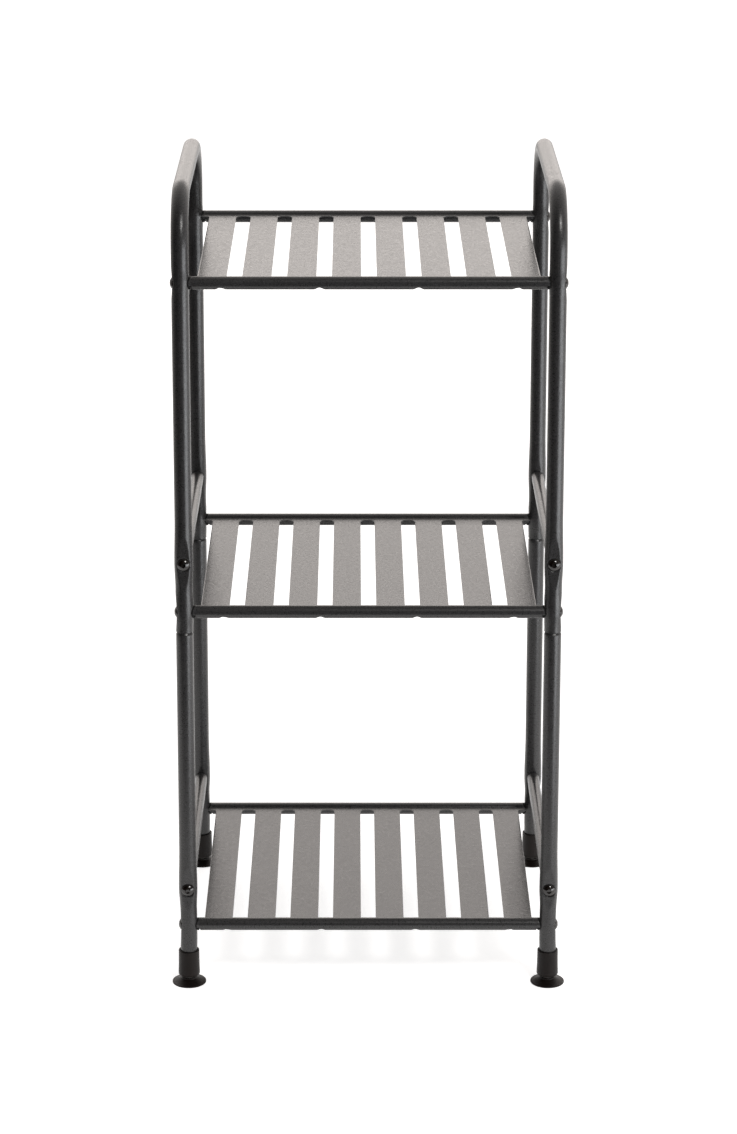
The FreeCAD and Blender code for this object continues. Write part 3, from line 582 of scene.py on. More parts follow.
def sheet_profile(shelf, border):
    """Points along the sheet from its slats over a roll to the roll's free edge.

    Returned are the distance from the roll's axis, the height over it and the angle on the roll, which
    stays a half turn before the roll begins. The deck runs level to the hollow curve, which touches
    both the deck and the roll, and from there the points follow the roll's circle over the top and
    down to the free edge under the deck.
    """
    lift = shelf.deck + shelf.join
    reach = shelf.roll + shelf.join
    join_at = -math.sqrt(reach ** 2 - lift ** 2)
    touch = math.atan2(lift, -join_at)
    hollow = np.linspace(-QUARTER, -touch, CURVE_POINTS)
    level = np.linspace(-border - shelf.corner, join_at, CURVE_POINTS)[:-1]
    lip = math.asin(shelf.lip_drop / shelf.roll)
    free = -math.pi - math.asin(shelf.free_edge / shelf.roll)
    over = np.linspace(math.pi - touch, -lip, ROLL_POINTS)
    under = np.linspace(-lip, lip - math.pi, ROLL_POINTS)
    inside = np.linspace(lip - math.pi, free, CURL_POINTS)
    rolled = np.concatenate([over[1:], under[1:], inside[1:]])
    across = np.concatenate([level, join_at + shelf.join * np.cos(hollow), shelf.roll * np.cos(rolled)])
    height = np.concatenate([np.full(len(level), shelf.deck), lift + shelf.join * np.sin(hollow),
                             shelf.roll * np.sin(rolled)])
    return across, height, np.concatenate([np.full(len(level) + len(hollow), math.pi), rolled])


def saddle_reach(shelf, across, cut):
    """How far along X the sheet reaches where a circle about the leg cuts it."""
    hollow = np.sqrt(np.clip(cut ** 2 - across ** 2, 0, None))
    return np.minimum(HALF_WIDTH - shelf.margin, HALF_WIDTH - hollow)


def drain_patch(shelf, columns, angles, x, first, last):
    """A ring of faces between a rectangle of the roll's grid and a round hole through its underside.

    The hole's rim lies on the roll where a straight drill from below would cut it, so across the roll
    its distance from the axis is the drill's radius times the sine of the way round.
    """
    clear = DRAIN_CLEAR * shelf.drain
    left = np.flatnonzero(columns < x - clear)[-1]
    right = np.flatnonzero(columns > x + clear)[0]
    rows, cells = np.arange(first, last + 1), np.arange(left, right + 1)
    deep, wide = len(rows) - 1, len(cells) - 1
    ring_angle = angles[np.concatenate([np.full(wide, first), rows, np.full(wide, last), rows[-2::-1]])]
    ring_x = columns[np.concatenate([cells, np.full(deep, right), cells[-2::-1], np.full(deep, left)])]
    reach = max(abs(angles[first] + QUARTER), abs(angles[last] + QUARTER))
    way = np.arctan2((ring_angle + QUARTER) / reach, (ring_x - x) / clear)
    hole_angle = -QUARTER + np.arcsin(shelf.drain * np.sin(way) / shelf.roll)
    hole_x = x + shelf.drain * np.cos(way)
    blend = np.linspace(0, 1, 5)[:, None]
    return (ring_x + (hole_x - ring_x) * blend, ring_angle + (hole_angle - ring_angle) * blend), (left, right)


def cut_distance(shelf, columns, inset, edge, border, x_at):
    """Distance from a roll's axis at which the sheet is cut in each column.

    Within the slats it is the border and the setback of the slots' corners. Outside them the column's
    own X depends on that distance and the setback on X, so the two are settled in a few rounds.
    """
    over = -border - inset
    for settling in range(SETTLING_ROUNDS):
        out = np.clip(np.abs(x_at(over)) - edge, 0, shelf.corner)
        rounded = shelf.corner - np.sqrt(shelf.corner ** 2 - (shelf.corner - out) ** 2)
        over = -border - np.where(np.abs(columns) > edge + MERGE, rounded, inset)
    return over


def turned_down(shelf, grid, edge, axis):
    """A grid of the deck whose points sink near the punched edges.

    A slot's outline is a rounded rectangle, and beyond the outer slats lie two wide ones. A point's
    distance from the nearest outline gives the share of the rounding that is left, and it sinks by
    the turn-down times the square of that share, less where the deck curves up into a roll.
    """
    pitch = shelf.slat + shelf.slot
    places = [((slot - (shelf.slots - 1) / 2) * pitch, shelf.slot / 2) for slot in range(shelf.slots)]
    places += [(edge + HALF_WIDTH, HALF_WIDTH), (-edge - HALF_WIDTH, HALF_WIDTH)]
    rear, front = HALF_DEPTH - shelf.rear_border, shelf.front_border - HALF_DEPTH
    apart = np.full(grid.shape[:-1], np.inf)
    for middle, half in places:
        x = np.abs(grid[..., 0] - middle) - half + shelf.corner
        y = np.abs(grid[..., 1] - (rear + front) / 2) - (rear - front) / 2 + shelf.corner
        outside = np.hypot(np.clip(x, 0, None), np.clip(y, 0, None)) + np.clip(np.maximum(x, y), None, 0)
        apart = np.minimum(apart, outside - shelf.corner)
    level = np.clip(1 - np.abs(grid[..., 2] - axis - shelf.deck) / shelf.rounding, 0, 1)
    left = np.clip(1 - apart / shelf.rounding, 0, 1)
    return grid - (shelf.turn_down * level * left ** 2)[..., None] * np.array([0, 0, 1])


def shelf_sheet(shelf, saddle, level, name):
    """One slotted sheet with both edges curled into rolls, thickened, its punched edges turned down."""
    front_end = shelf.front_border + shelf.corner
    lip_end = saddle_reach(shelf, front_end, saddle + shelf.lip_trim)
    columns, inset, slats, edge = deck_columns(shelf, lip_end)
    axis = ROLL_HEIGHTS[level]

    def x_at(over):
        """X of every column at a distance from a roll's axis, drawn in outside the slats to the lower lip."""
        lower = saddle_reach(shelf, np.maximum(over, -front_end), saddle + shelf.lip_trim)
        beyond = np.clip(np.abs(columns) - edge, 0, None) / (lip_end - edge)
        x = np.sign(columns) * (np.minimum(np.abs(columns), edge) + beyond * (lower - edge))
        upper = saddle_reach(shelf, over, saddle)
        x[..., 0] = -upper[..., 0]
        x[..., -1] = upper[..., -1]
        return x

    patches = []
    for border, sign, drains in ((shelf.rear_border, 1, 0), (shelf.front_border, -1, shelf.drains)):
        across, height, angles = sheet_profile(shelf, border)
        along = np.concatenate([[0], np.cumsum(np.hypot(np.diff(across), np.diff(height)))])
        cut = cut_distance(shelf, columns, inset, edge, border, x_at)
        rise = np.argmax(across) + 1
        meet = np.flatnonzero(across > min(cut.max() + shelf.sheet, 0))[0]
        steps = np.linspace(0, 1, 2 + int(along[meet] / DECK_STEP))[:, None]
        way = np.interp(cut, across[:rise], along[:rise]) * (1 - steps) + along[meet] * steps
        over, up = np.interp(way, along, across), np.interp(way, along, height)
        patches.append((points(x_at(over), sign * (HALF_DEPTH + over), axis + up), None))

        over, up = np.broadcast_arrays(across[meet:, None], height[meet:, None], columns)[:2]
        keep = np.ones((len(over) - 1, len(columns) - 1), bool)
        below_lip = (up[1:, 0] + up[:-1, 0]) / 2 < -shelf.lip_drop
        keep[below_lip, 0] = False
        keep[below_lip, -1] = False
        reach = math.asin(shelf.drain / shelf.roll) + DRAIN_MARGIN
        under = np.flatnonzero(np.abs(angles + QUARTER) < reach)
        first, last = under[0], under[-1]
        for drain in range(drains):
            x = (drain - (drains - 1) / 2) * shelf.drain_spacing
            (ring_x, ring_angle), (left, right) = drain_patch(shelf, columns, angles, x, first, last)
            keep[first - meet:last - meet, left:right] = False
            patches.append((points(ring_x, sign * (HALF_DEPTH + shelf.roll * np.cos(ring_angle)),
                                   axis + shelf.roll * np.sin(ring_angle)), None))
        patches.append((points(x_at(over), sign * (HALF_DEPTH + over), axis + up), keep))

    rear = HALF_DEPTH - shelf.rear_border - shelf.corner
    y = np.linspace(front_end - HALF_DEPTH, rear, SLAT_ROWS)[:, None]
    patches += [(points(columns[start:stop], y, axis + shelf.deck), None) for start, stop in slats]
    patches = [(turned_down(shelf, grid, edge, axis), keep) for grid, keep in patches]
    return thicken(surface(name, patches), shelf.sheet, even=True)


# Rails, plugs and bolts

def side_rail(fittings, saddle, level, side, name):
    """A round tube whose ends are hollowed to the legs' saddle circle."""
    angles = turn_of(RAIL_ROUND)
    way_shares = np.array([-1.0, -0.97, -0.6, -0.2, 0.2, 0.6, 0.97, 1.0])[:, None]
    walls = []
    for radius in (fittings.rail, fittings.rail - fittings.rail_wall):
        across = radius * np.cos(angles)
        end = HALF_DEPTH - np.sqrt(saddle ** 2 - across ** 2)
        walls.append(points(across, way_shares * end, radius * np.sin(angles)))
    shell = np.concatenate([walls[0], walls[1][::-1], walls[0][:1]])
    return solid(name, [shell + np.array([side * HALF_WIDTH, 0, RAIL_HEIGHTS[level]])])


def plug_grid(fittings, legs, station, radius, bore):
    """One end plug along +X from its leg's axis: saddle flange, core and thread.

    Rings about the plug's own axis. Towards the leg the flange ends on the pressed leg's surface,
    the root of its radius squared less the side distance squared, or the pressing's arc if that is
    nearer; towards the tube it ends on the saddle circle.
    """
    depth, below, above = station[2:]
    angles = turn_of(FITTING_ROUND)
    edge, tip = fittings.flange_edge, fittings.plug_tip
    core = bore - fittings.gap
    thread = fittings.bolt + fittings.gap
    end = legs.radius + fittings.flange + fittings.plug

    def on_leg(size):
        """Where a ring of one size meets the pressed leg."""
        beside, up = size * np.cos(angles), size * np.sin(angles)
        around = legs.radius + legs.bulge * swelling(up, below, above)
        pressed = legs.radius + up ** 2 * depth / below ** 2
        return np.minimum(np.sqrt(around ** 2 - beside ** 2), pressed) + fittings.gap

    def in_tube(size):
        """Where it meets the hollowed end of the tube."""
        saddle = legs.radius + fittings.flange - fittings.gap
        return np.sqrt(saddle ** 2 - (size * np.cos(angles)) ** 2)

    rings = [(size, on_leg(size)) for size in (thread, (thread + radius) / 2, radius - edge)]
    rings.append((radius, rings[-1][1] + edge))
    rings += [(size, in_tube(size)) for size in (radius, radius - edge / 2, core)]
    rings += [(core, end - tip), (core - tip, end), (thread, end)]
    return np.stack([points(out, size * np.cos(angles), size * np.sin(angles))
                     for size, out in rings + rings[:1]])


def bolt_grid(fittings):
    """A bolt along Z, its seat at zero: hexagon socket, domed head and shank.

    The dome is a ball's cap whose radius follows from its rise and the head's width. It runs from a
    quarter outside the socket's flats to just inside the straight edge.
    """
    rise = fittings.head_height - fittings.head_rim
    ball = (rise ** 2 + fittings.head ** 2) / (2 * rise)

    def dome(radius):
        """Height of the dome at a distance from its middle."""
        return fittings.head_rim + rise - ball + math.sqrt(ball ** 2 - radius ** 2)

    flat = fittings.socket / 2
    floor = fittings.head_height - fittings.socket_depth
    point, edge, rim, tip = fittings.socket_point, fittings.socket_edge, fittings.head_rim, fittings.bolt_tip
    rows = [(0.0, floor - point), (flat * 0.6, floor - point / 3, "hexagon"), (flat, floor, "hexagon"),
            (flat, dome(flat) - 1.5 * edge, "hexagon"), (flat + edge, dome(flat) - 0.2 * edge, "hexagon")]
    rows += [(radius, dome(radius))
             for radius in np.linspace(flat * 1.25, fittings.head * 0.985, DOME_POINTS)[1:]]
    rows += [(fittings.head, rim * 0.9), (fittings.head, rim * 0.4), (fittings.head - rim / 2, 0.0),
             (fittings.bolt, 0.0), (fittings.bolt, tip - fittings.bolt_length),
             (fittings.bolt - tip, -fittings.bolt_length), (0.0, -fittings.bolt_length)]
    return turned(rows, FITTING_ROUND)


def bolt_copies(grid, legs, kind, height):
    """Four bolts of one height, heads out from their legs, each socket with a turn of its own."""
    copies = []
    start, between, by_height = SOCKET_TURNS
    for index, (corner, (side, depth)) in enumerate(CORNERS.items()):
        way = np.array((side, 0, 0) if kind == "shelf" else (0, depth, 0), float)
        place = LEG_AXES[corner] + way * (legs.radius - legs.seat_depth) + np.array([0, 0, height])
        turn = math.radians(start + between * index + by_height * height)
        flank = np.cross(way, (0, 0, 1))
        across = np.cos(turn) * flank + np.sin(turn) * np.cross(way, flank)
        copies.append(grid @ np.stack([across, np.cross(way, across), way]) + place)
    return copies


# Feet

def sleeve_grid(feet, legs, fittings):
    """A sleeve about Z: rounded lower edge, tapering wall, soft lip, bore for the leg and threaded boss.

    The wall curves in by the hollow times the sine of a half turn over its height. Each row of the
    mouth is how much wider than the bore and how far below the top it lies.
    """
    bottom, top = SLEEVE_LOW.z, SLEEVE_HIGH.z
    base = SLEEVE_HIGH.x - HALF_WIDTH
    rim = base - feet.sleeve_taper
    edge, lip = feet.sleeve_edge, feet.sleeve_lip
    bore = legs.radius + fittings.gap
    boss = legs.radius - legs.wall - fittings.gap
    thread = feet.stud + feet.running_gap
    floor = bottom + feet.sleeve_floor
    boss_top = floor + feet.boss
    turn = np.linspace(0, QUARTER, SLEEVE_EDGE_POINTS)
    mouth = ((0.0006, 0.0), (0.0005, 0.0009), (0.0, 0.0016))
    rows = [(thread, bottom)] + lower_edge(base, bottom, edge, turn)
    rows += [(base + (rim - base) * part - feet.sleeve_hollow * math.sin(math.pi * part),
              bottom + edge + (top - lip - bottom - edge) * part)
             for part in np.linspace(0, 1, CURVE_POINTS)[1:]]
    rows += upper_edge(rim, top, lip, turn[1:])
    rows += [(bore + wider, top - down) for wider, down in mouth]
    rows += [(bore, floor), (boss, floor), (boss, boss_top - feet.boss_edge),
             (boss - feet.boss_edge, boss_top), (thread, boss_top), (thread, bottom)]
    return turned(rows, SLEEVE_ROUND)


def pad_grid(feet, node):
    """A pad about Z: straight rim, hollow cone up to the hub, and the socket in which the stud's disc turns.

    The cone lies below a straight line by the hollow times its rise and the sine of a half turn over
    its way.
    """
    low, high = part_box(node)
    outer, top = (high.x - low.x) / 2, high.z
    soft, draft = feet.pad_edge, feet.hub_draft
    turn = np.linspace(0, QUARTER, PAD_EDGE_POINTS)
    rise = feet.pad_shoulder - feet.pad_rim
    rows = [(0.0, feet.pad_recess), (outer - feet.pad_ring - feet.pad_slope, feet.pad_recess),
            (outer - feet.pad_ring, 0.0), (outer - soft, 0.0)]
    rows += lower_edge(outer, 0.0, soft, turn[1:]) + upper_edge(outer, feet.pad_rim, soft, turn)
    rows += [(outer - soft + (feet.hub - outer + soft) * part,
              feet.pad_rim + rise * (part - feet.pad_hollow * math.sin(math.pi * part)))
             for part in np.linspace(0, 1, CONE_POINTS)[1:]]
    rows += [(feet.hub - draft, feet.pad_shoulder + 4 * draft), (feet.hub - 2 * draft, top - soft)]
    rows += upper_edge(feet.hub - 2 * draft, top, soft, turn[1:])
    neck = feet.neck + feet.running_gap
    disc = feet.disc + feet.running_gap
    ledge = feet.pad_floor + 3 * feet.running_gap + feet.disc_height
    rows += [(neck, top), (neck, ledge), (disc, ledge), (disc, feet.pad_floor), (0.0, feet.pad_floor)]
    return turned(rows, PAD_ROUND)


def stud_grid(feet, node):
    """A stud about Z: disc, neck, hexagon collar, and a thread.

    The thread's radius is the outside less its depth times a saw, cut flat at its top and its root, of
    the height over the pitch less the share of the turn. It rises from the core over its first turn.
    """
    low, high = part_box(node)
    bottom, top = low.z, high.z
    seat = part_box("foot_pad_front_left")[1].z + feet.running_gap
    collar_top = SLEEVE_LOW.z - feet.collar_gap
    flat = feet.collar / 2
    narrow, bevel = flat - feet.collar_edge, feet.collar_edge * 2 / 3
    disc_top = bottom + feet.disc_height
    core = feet.stud - feet.thread
    body = turned([(0.0, bottom), (feet.disc, bottom), (feet.disc, disc_top), (feet.neck, disc_top),
                   (feet.neck, seat), (narrow, seat, "hexagon"), (flat, seat + bevel, "hexagon"),
                   (flat, collar_top - bevel, "hexagon"), (narrow, collar_top, "hexagon"),
                   (core, collar_top)], FITTING_ROUND)
    angles = turn_of(FITTING_ROUND)
    heights = np.arange(collar_top, top - feet.pitch, feet.pitch / 8)[:, None]
    wave = (heights / feet.pitch - angles / (2 * math.pi)) % 1.0
    fade = np.clip((heights - collar_top) / feet.pitch, 0, 1)
    sunk = np.clip(SAW_SLOPE * np.abs(wave - 0.5) - SAW_CUT, 0, 1)
    thread = round_points(feet.stud - feet.thread * (1 - fade * (1 - sunk)), angles, heights)
    blunt = feet.stud - SAW_BLUNT * feet.thread
    tip = turned([(core, top - feet.pitch / 2), (blunt, top), (0.0, top)], FITTING_ROUND)
    return np.concatenate([body, thread, tip])


# Materials

def add(tree, kind, inputs=None, **settings):
    """A node with its settings, its inputs given as values or as sockets to join."""
    made = tree.nodes.new(kind)
    for name, value in settings.items():
        setattr(made, name, value)
    for name, value in (inputs or {}).items():
        if isinstance(value, bpy.types.NodeSocket):
            tree.links.new(value, made.inputs[name])
        else:
            made.inputs[name].default_value = value
    return made


def calculate(tree, operation, first, second, clamp=False):
    """A sum, product or the like of two values."""
    return add(tree, "ShaderNodeMath", {0: first, 1: second}, operation=operation, use_clamp=clamp).outputs[0]


def blend_colours(tree, factor, first, second):
    """Two colours mixed by a factor."""
    return add(tree, "ShaderNodeMix", {0: factor, 6: first, 7: second}, data_type="RGBA").outputs[2]


def spread(tree, value, low, high, to_low=0.0, to_high=1.0):
    """A value carried from one range to another, held at its ends."""
    inputs = {"Value": value, "From Min": low, "From Max": high, "To Min": to_low, "To Max": to_high}
    return add(tree, "ShaderNodeMapRange", inputs).outputs["Result"]


def noise(tree, place, scale, detail=2.0, roughness=0.5):
    """Plain noise at a scale in parts a metre."""
    inputs = {"Vector": place, "Scale": scale, "Detail": detail, "Roughness": roughness}
    return add(tree, "ShaderNodeTexNoise", inputs).outputs["Fac"]


def opaque(tint, level=1.0):
    """A colour times a level, with full cover."""
    return tuple(min(1.0, part * level) for part in tint) + (1.0,)


def edge_mask(tree, low, high):
    """Where the surface is sharply convex, from nought to one."""
    return spread(tree, add(tree, "ShaderNodeNewGeometry").outputs["Pointiness"], low, high)


def new_tree(holder):
    """The empty node tree of a material or a world."""
    holder.use_nodes = True
    holder.node_tree.nodes.clear()
    return holder.node_tree


def new_material(name):
    """A material with its tree, its shader and its object coordinates."""
    material = bpy.data.materials.new(name)
    material.diffuse_color = (0.1, 0.1, 0.1, 1.0)
    tree = new_tree(material)
    shader = add(tree, "ShaderNodeBsdfPrincipled")
    add(tree, "ShaderNodeOutputMaterial", {"Surface": shader.outputs["BSDF"]})
    return material, tree, shader, add(tree, "ShaderNodeTexCoord").outputs["Object"]


def finish(tree, shader, tone, roughness, height, strength, distance):
    """Join a colour, a roughness and a height to a shader."""
    bump = add(tree, "ShaderNodeBump", {"Height": height, "Strength": strength, "Distance": distance})
    joints = {"Base Color": tone, "Roughness": roughness, "Normal": bump.outputs["Normal"]}
    for name, socket in joints.items():
        tree.links.new(socket, shader.inputs[name])


def powder_coat(finishes, name):
    """Satin powder coat: fine grain, faint clouds, scattered metal flecks and rubbed edges."""
    material, tree, shader, place = new_material(name)
    deep = opaque(finishes.coat, 0.8)
    clouds = noise(tree, place, 14.0, 3.0)
    peel = noise(tree, place, 780.0, 2.0, 0.6)
    grain = noise(tree, place, 1900.0, 2.0, 0.6)
    flecks = noise(tree, place, 3600.0, 1.0)
    scuffs = noise(tree, place, 180.0, 4.0, 0.7)
    patches = noise(tree, place, 330.0, 3.0, 0.6)
    tone = blend_colours(tree, spread(tree, clouds, 0.35, 0.65), deep, opaque(finishes.coat))
    tone = blend_colours(tree, spread(tree, grain, 0.35, 0.65, 0.0, 0.45), tone, deep)
    tone = blend_colours(tree, spread(tree, flecks, 0.6, 0.74, 0.0, 0.85), tone, opaque(finishes.fleck))
    scuffed = spread(tree, scuffs, 0.4, 0.6, 0.2, 0.9)
    rubbed = calculate(tree, "MULTIPLY", edge_mask(tree, 0.53, 0.62), scuffed)
    tone = blend_colours(tree, rubbed, tone, opaque(finishes.worn))
    gloss = finishes.coat_gloss
    mottle = spread(tree, patches, 0.35, 0.65, gloss - 0.03, gloss + 0.03)
    roughness = calculate(tree, "ADD", mottle, spread(tree, peel, 0.3, 0.7, -0.05, 0.06))
    finish(tree, shader, tone, roughness, calculate(tree, "ADD", peel, grain), 0.38, 0.00015)
    return material


def moulded_plastic(name, tint, gloss, grain_scale):
    """Moulded plastic with a fine spark-eroded grain and a painted sheen: its convex edges are painted
    lighter.
    """
    material, tree, shader, place = new_material(name)
    grain = noise(tree, place, grain_scale, 3.0, 0.6)
    clouds = noise(tree, place, 60.0, 2.0)
    tone = blend_colours(tree, spread(tree, clouds, 0.35, 0.65), opaque(tint, 0.7), opaque(tint))
    # Painted sheen: convex edges painted lighter than the plastic's own tint
    tone = blend_colours(tree, edge_mask(tree, 0.54, 0.66), tone, opaque(tint, 2.2))
    shader.inputs["Specular IOR Level"].default_value = 0.2
    roughness = spread(tree, grain, 0.3, 0.7, gloss - 0.06, gloss + 0.08)
    finish(tree, shader, tone, roughness, grain, 0.7, 0.0003)
    return material


def blackened_steel(finishes):
    """Glossy blackened steel of the bolts, a little brown and with faint turning marks."""
    material, tree, shader, place = new_material("blackened_steel")
    clouds = noise(tree, place, 900.0, 3.0, 0.6)
    brown = opaque(part * more for part, more in zip(finishes.bolt, (2.4, 1.9, 1.5)))
    tone = blend_colours(tree, spread(tree, clouds, 0.4, 0.7, 0.0, 0.8), opaque(finishes.bolt), brown)
    tone = blend_colours(tree, edge_mask(tree, 0.57, 0.7), tone, opaque(finishes.bolt_edge))
    shader.inputs["Metallic"].default_value = 0.1
    shader.inputs["Specular IOR Level"].default_value = 0.7
    finish(tree, shader, tone, spread(tree, clouds, 0.3, 0.7, 0.1, 0.18), clouds, 0.12, 0.00008)
    return material


def black_zinc(finishes):
    """Black zinc of the studs, with fine drawn lines and dull patches."""
    material, tree, shader, place = new_material("black_zinc")
    patches = noise(tree, place, 220.0, 4.0, 0.6)
    tone = blend_colours(tree, spread(tree, patches, 0.35, 0.65), opaque(finishes.stud, 0.6),
                         opaque(finishes.stud))
    shader.inputs["Metallic"].default_value = 0.9
    lines = noise(tree, place, 3000.0, 2.0)
    finish(tree, shader, tone, spread(tree, patches, 0.3, 0.7, 0.28, 0.45), lines, 0.1, 0.00005)
    return material


# Operators

class PieceOperator:
    """What the operators of this script share."""
    bl_options = {"REGISTER", "UNDO"}


class SHELVING_OT_side_frames(PieceOperator, bpy.types.Operator):
    """Bend the two side frames"""
    bl_idname = "shelving.side_frames"
    bl_label = "Side frames"

    def execute(self, context):
        coat = powder_coat(context.scene.shelving_finishes, "satin_coat_legs")
        for name, side in SIDES.items():
            piece = side_frame(context.scene.shelving_legs, side, f"arch_tube_{name}")
            dress(piece, "frame", "leg_coat", coat, f"side_frame_{name}")
        return {"FINISHED"}


class SHELVING_OT_lower_legs(PieceOperator, bpy.types.Operator):
    """Make the four lower legs"""
    bl_idname = "shelving.lower_legs"
    bl_label = "Lower legs"

    def execute(self, context):
        coat = bpy.data.materials["satin_coat_legs"]
        for corner in CORNERS:
            piece = lower_leg(context.scene.shelving_legs, corner, f"leg_tube_{corner}")
            dress(piece, "frame", "leg_coat", coat, f"leg_lower_{corner}")
        return {"FINISHED"}


class SHELVING_OT_shelves(PieceOperator, bpy.types.Operator):
    """Punch and roll the three shelves"""
    bl_idname = "shelving.shelves"
    bl_label = "Shelves"

    def execute(self, context):
        scene = context.scene
        coat = powder_coat(scene.shelving_finishes, "satin_coat_shelves")
        saddle = scene.shelving_legs.radius + scene.shelving_fittings.flange
        for level in LEVELS:
            piece = shelf_sheet(scene.shelving_shelf, saddle, level, f"deck_sheet_{level}")
            dress(piece, "frame", "shelf_coat", coat, f"shelf_{level}")
        return {"FINISHED"}


class SHELVING_OT_side_rails(PieceOperator, bpy.types.Operator):
    """Make the four side rails"""
    bl_idname = "shelving.side_rails"
    bl_label = "Side rails"

    def execute(self, context):
        scene = context.scene
        coat = powder_coat(scene.shelving_finishes, "satin_coat_rails")
        saddle = scene.shelving_legs.radius + scene.shelving_fittings.flange
        for level in RAIL_LEVELS:
            for name, side in SIDES.items():
                piece = side_rail(scene.shelving_fittings, saddle, level, side, f"rail_tube_{level}_{name}")
                dress(piece, "frame", "rail_coat", coat, f"side_rail_{level}_{name}")
        return {"FINISHED"}


class SHELVING_OT_end_plugs(PieceOperator, bpy.types.Operator):
    """Mould the end plugs of the rolls and the rails"""
    bl_idname = "shelving.end_plugs"
    bl_label = "End plugs"

    def execute(self, context):
        scene = context.scene
        legs, shelf, fittings = scene.shelving_legs, scene.shelving_shelf, scene.shelving_fittings
        plastic = moulded_plastic("moulded_plug", scene.shelving_finishes.plug, 0.5, 1500.0)
        bolts = stations(legs, "lower") + stations(legs, "upper")
        nodes = ("shelf_plugs_bottom", "rail_plugs_low", "shelf_plugs_middle", "rail_plugs_middle",
                 "shelf_plugs_top")
        for node, bolt in zip(nodes, bolts):
            if bolt[1] == 0:
                grid = plug_grid(fittings, legs, bolt, shelf.roll, shelf.roll - shelf.sheet)
            else:
                grid = plug_grid(fittings, legs, bolt, fittings.rail, fittings.rail - fittings.rail_wall)
                grid = grid[..., [1, 0, 2]]
            copies = [grid * np.array([-side, -depth, 1]) + LEG_AXES[corner] + np.array([0, 0, bolt[0]])
                      for corner, (side, depth) in CORNERS.items()]
            piece = solid(node.replace("plugs", "plug_mouldings"), copies)
            dress(piece, "frame", "plug_plastic", plastic, node)
        return {"FINISHED"}


class SHELVING_OT_bolts(PieceOperator, bpy.types.Operator):
    """Set the bolts with their socket heads"""
    bl_idname = "shelving.bolts"
    bl_label = "Bolts"

    def execute(self, context):
        steel = blackened_steel(context.scene.shelving_finishes)
        grid = bolt_grid(context.scene.shelving_fittings)
        for kind, heights in (("shelf", ROLL_HEIGHTS), ("rail", RAIL_HEIGHTS)):
            for level, height in heights.items():
                copies = bolt_copies(grid, context.scene.shelving_legs, kind, height)
                piece = solid(f"{kind}_bolt_heads_{level}", copies, FINE_CREASE)
                dress(piece, "frame", "bolt_black", steel, f"{kind}_bolts_{level}")
        return {"FINISHED"}


class SHELVING_OT_foot_sleeves(PieceOperator, bpy.types.Operator):
    """Mould the four foot sleeves"""
    bl_idname = "shelving.foot_sleeves"
    bl_label = "Foot sleeves"

    def execute(self, context):
        scene = context.scene
        plastic = moulded_plastic("moulded_foot", scene.shelving_finishes.plastic, 0.42, 1300.0)
        grid = sleeve_grid(scene.shelving_feet, scene.shelving_legs, scene.shelving_fittings)
        piece = solid("foot_sleeve_mouldings", [grid + place for place in LEG_AXES.values()])
        dress(piece, "frame", "foot_plastic", plastic, "foot_sleeves")
        return {"FINISHED"}


class SHELVING_OT_feet(PieceOperator, bpy.types.Operator):
    """Make the studs and pads of the four screw feet"""
    bl_idname = "shelving.feet"
    bl_label = "Screw feet"

    def execute(self, context):
        feet = context.scene.shelving_feet
        plastic = bpy.data.materials["moulded_foot"]
        steel = black_zinc(context.scene.shelving_finishes)
        for corner, place in LEG_AXES.items():
            pad = solid(f"pad_disc_{corner}", [pad_grid(feet, f"foot_pad_{corner}") + place])
            dress(pad, f"pad_{corner}", "foot_plastic", plastic, f"foot_pad_{corner}")
            grid = stud_grid(feet, f"foot_stud_{corner}") + place
            stud = solid(f"stud_screw_{corner}", [grid], FINE_CREASE)
            dress(stud, f"stud_{corner}", "stud_steel", steel, f"foot_stud_{corner}")
        return {"FINISHED"}


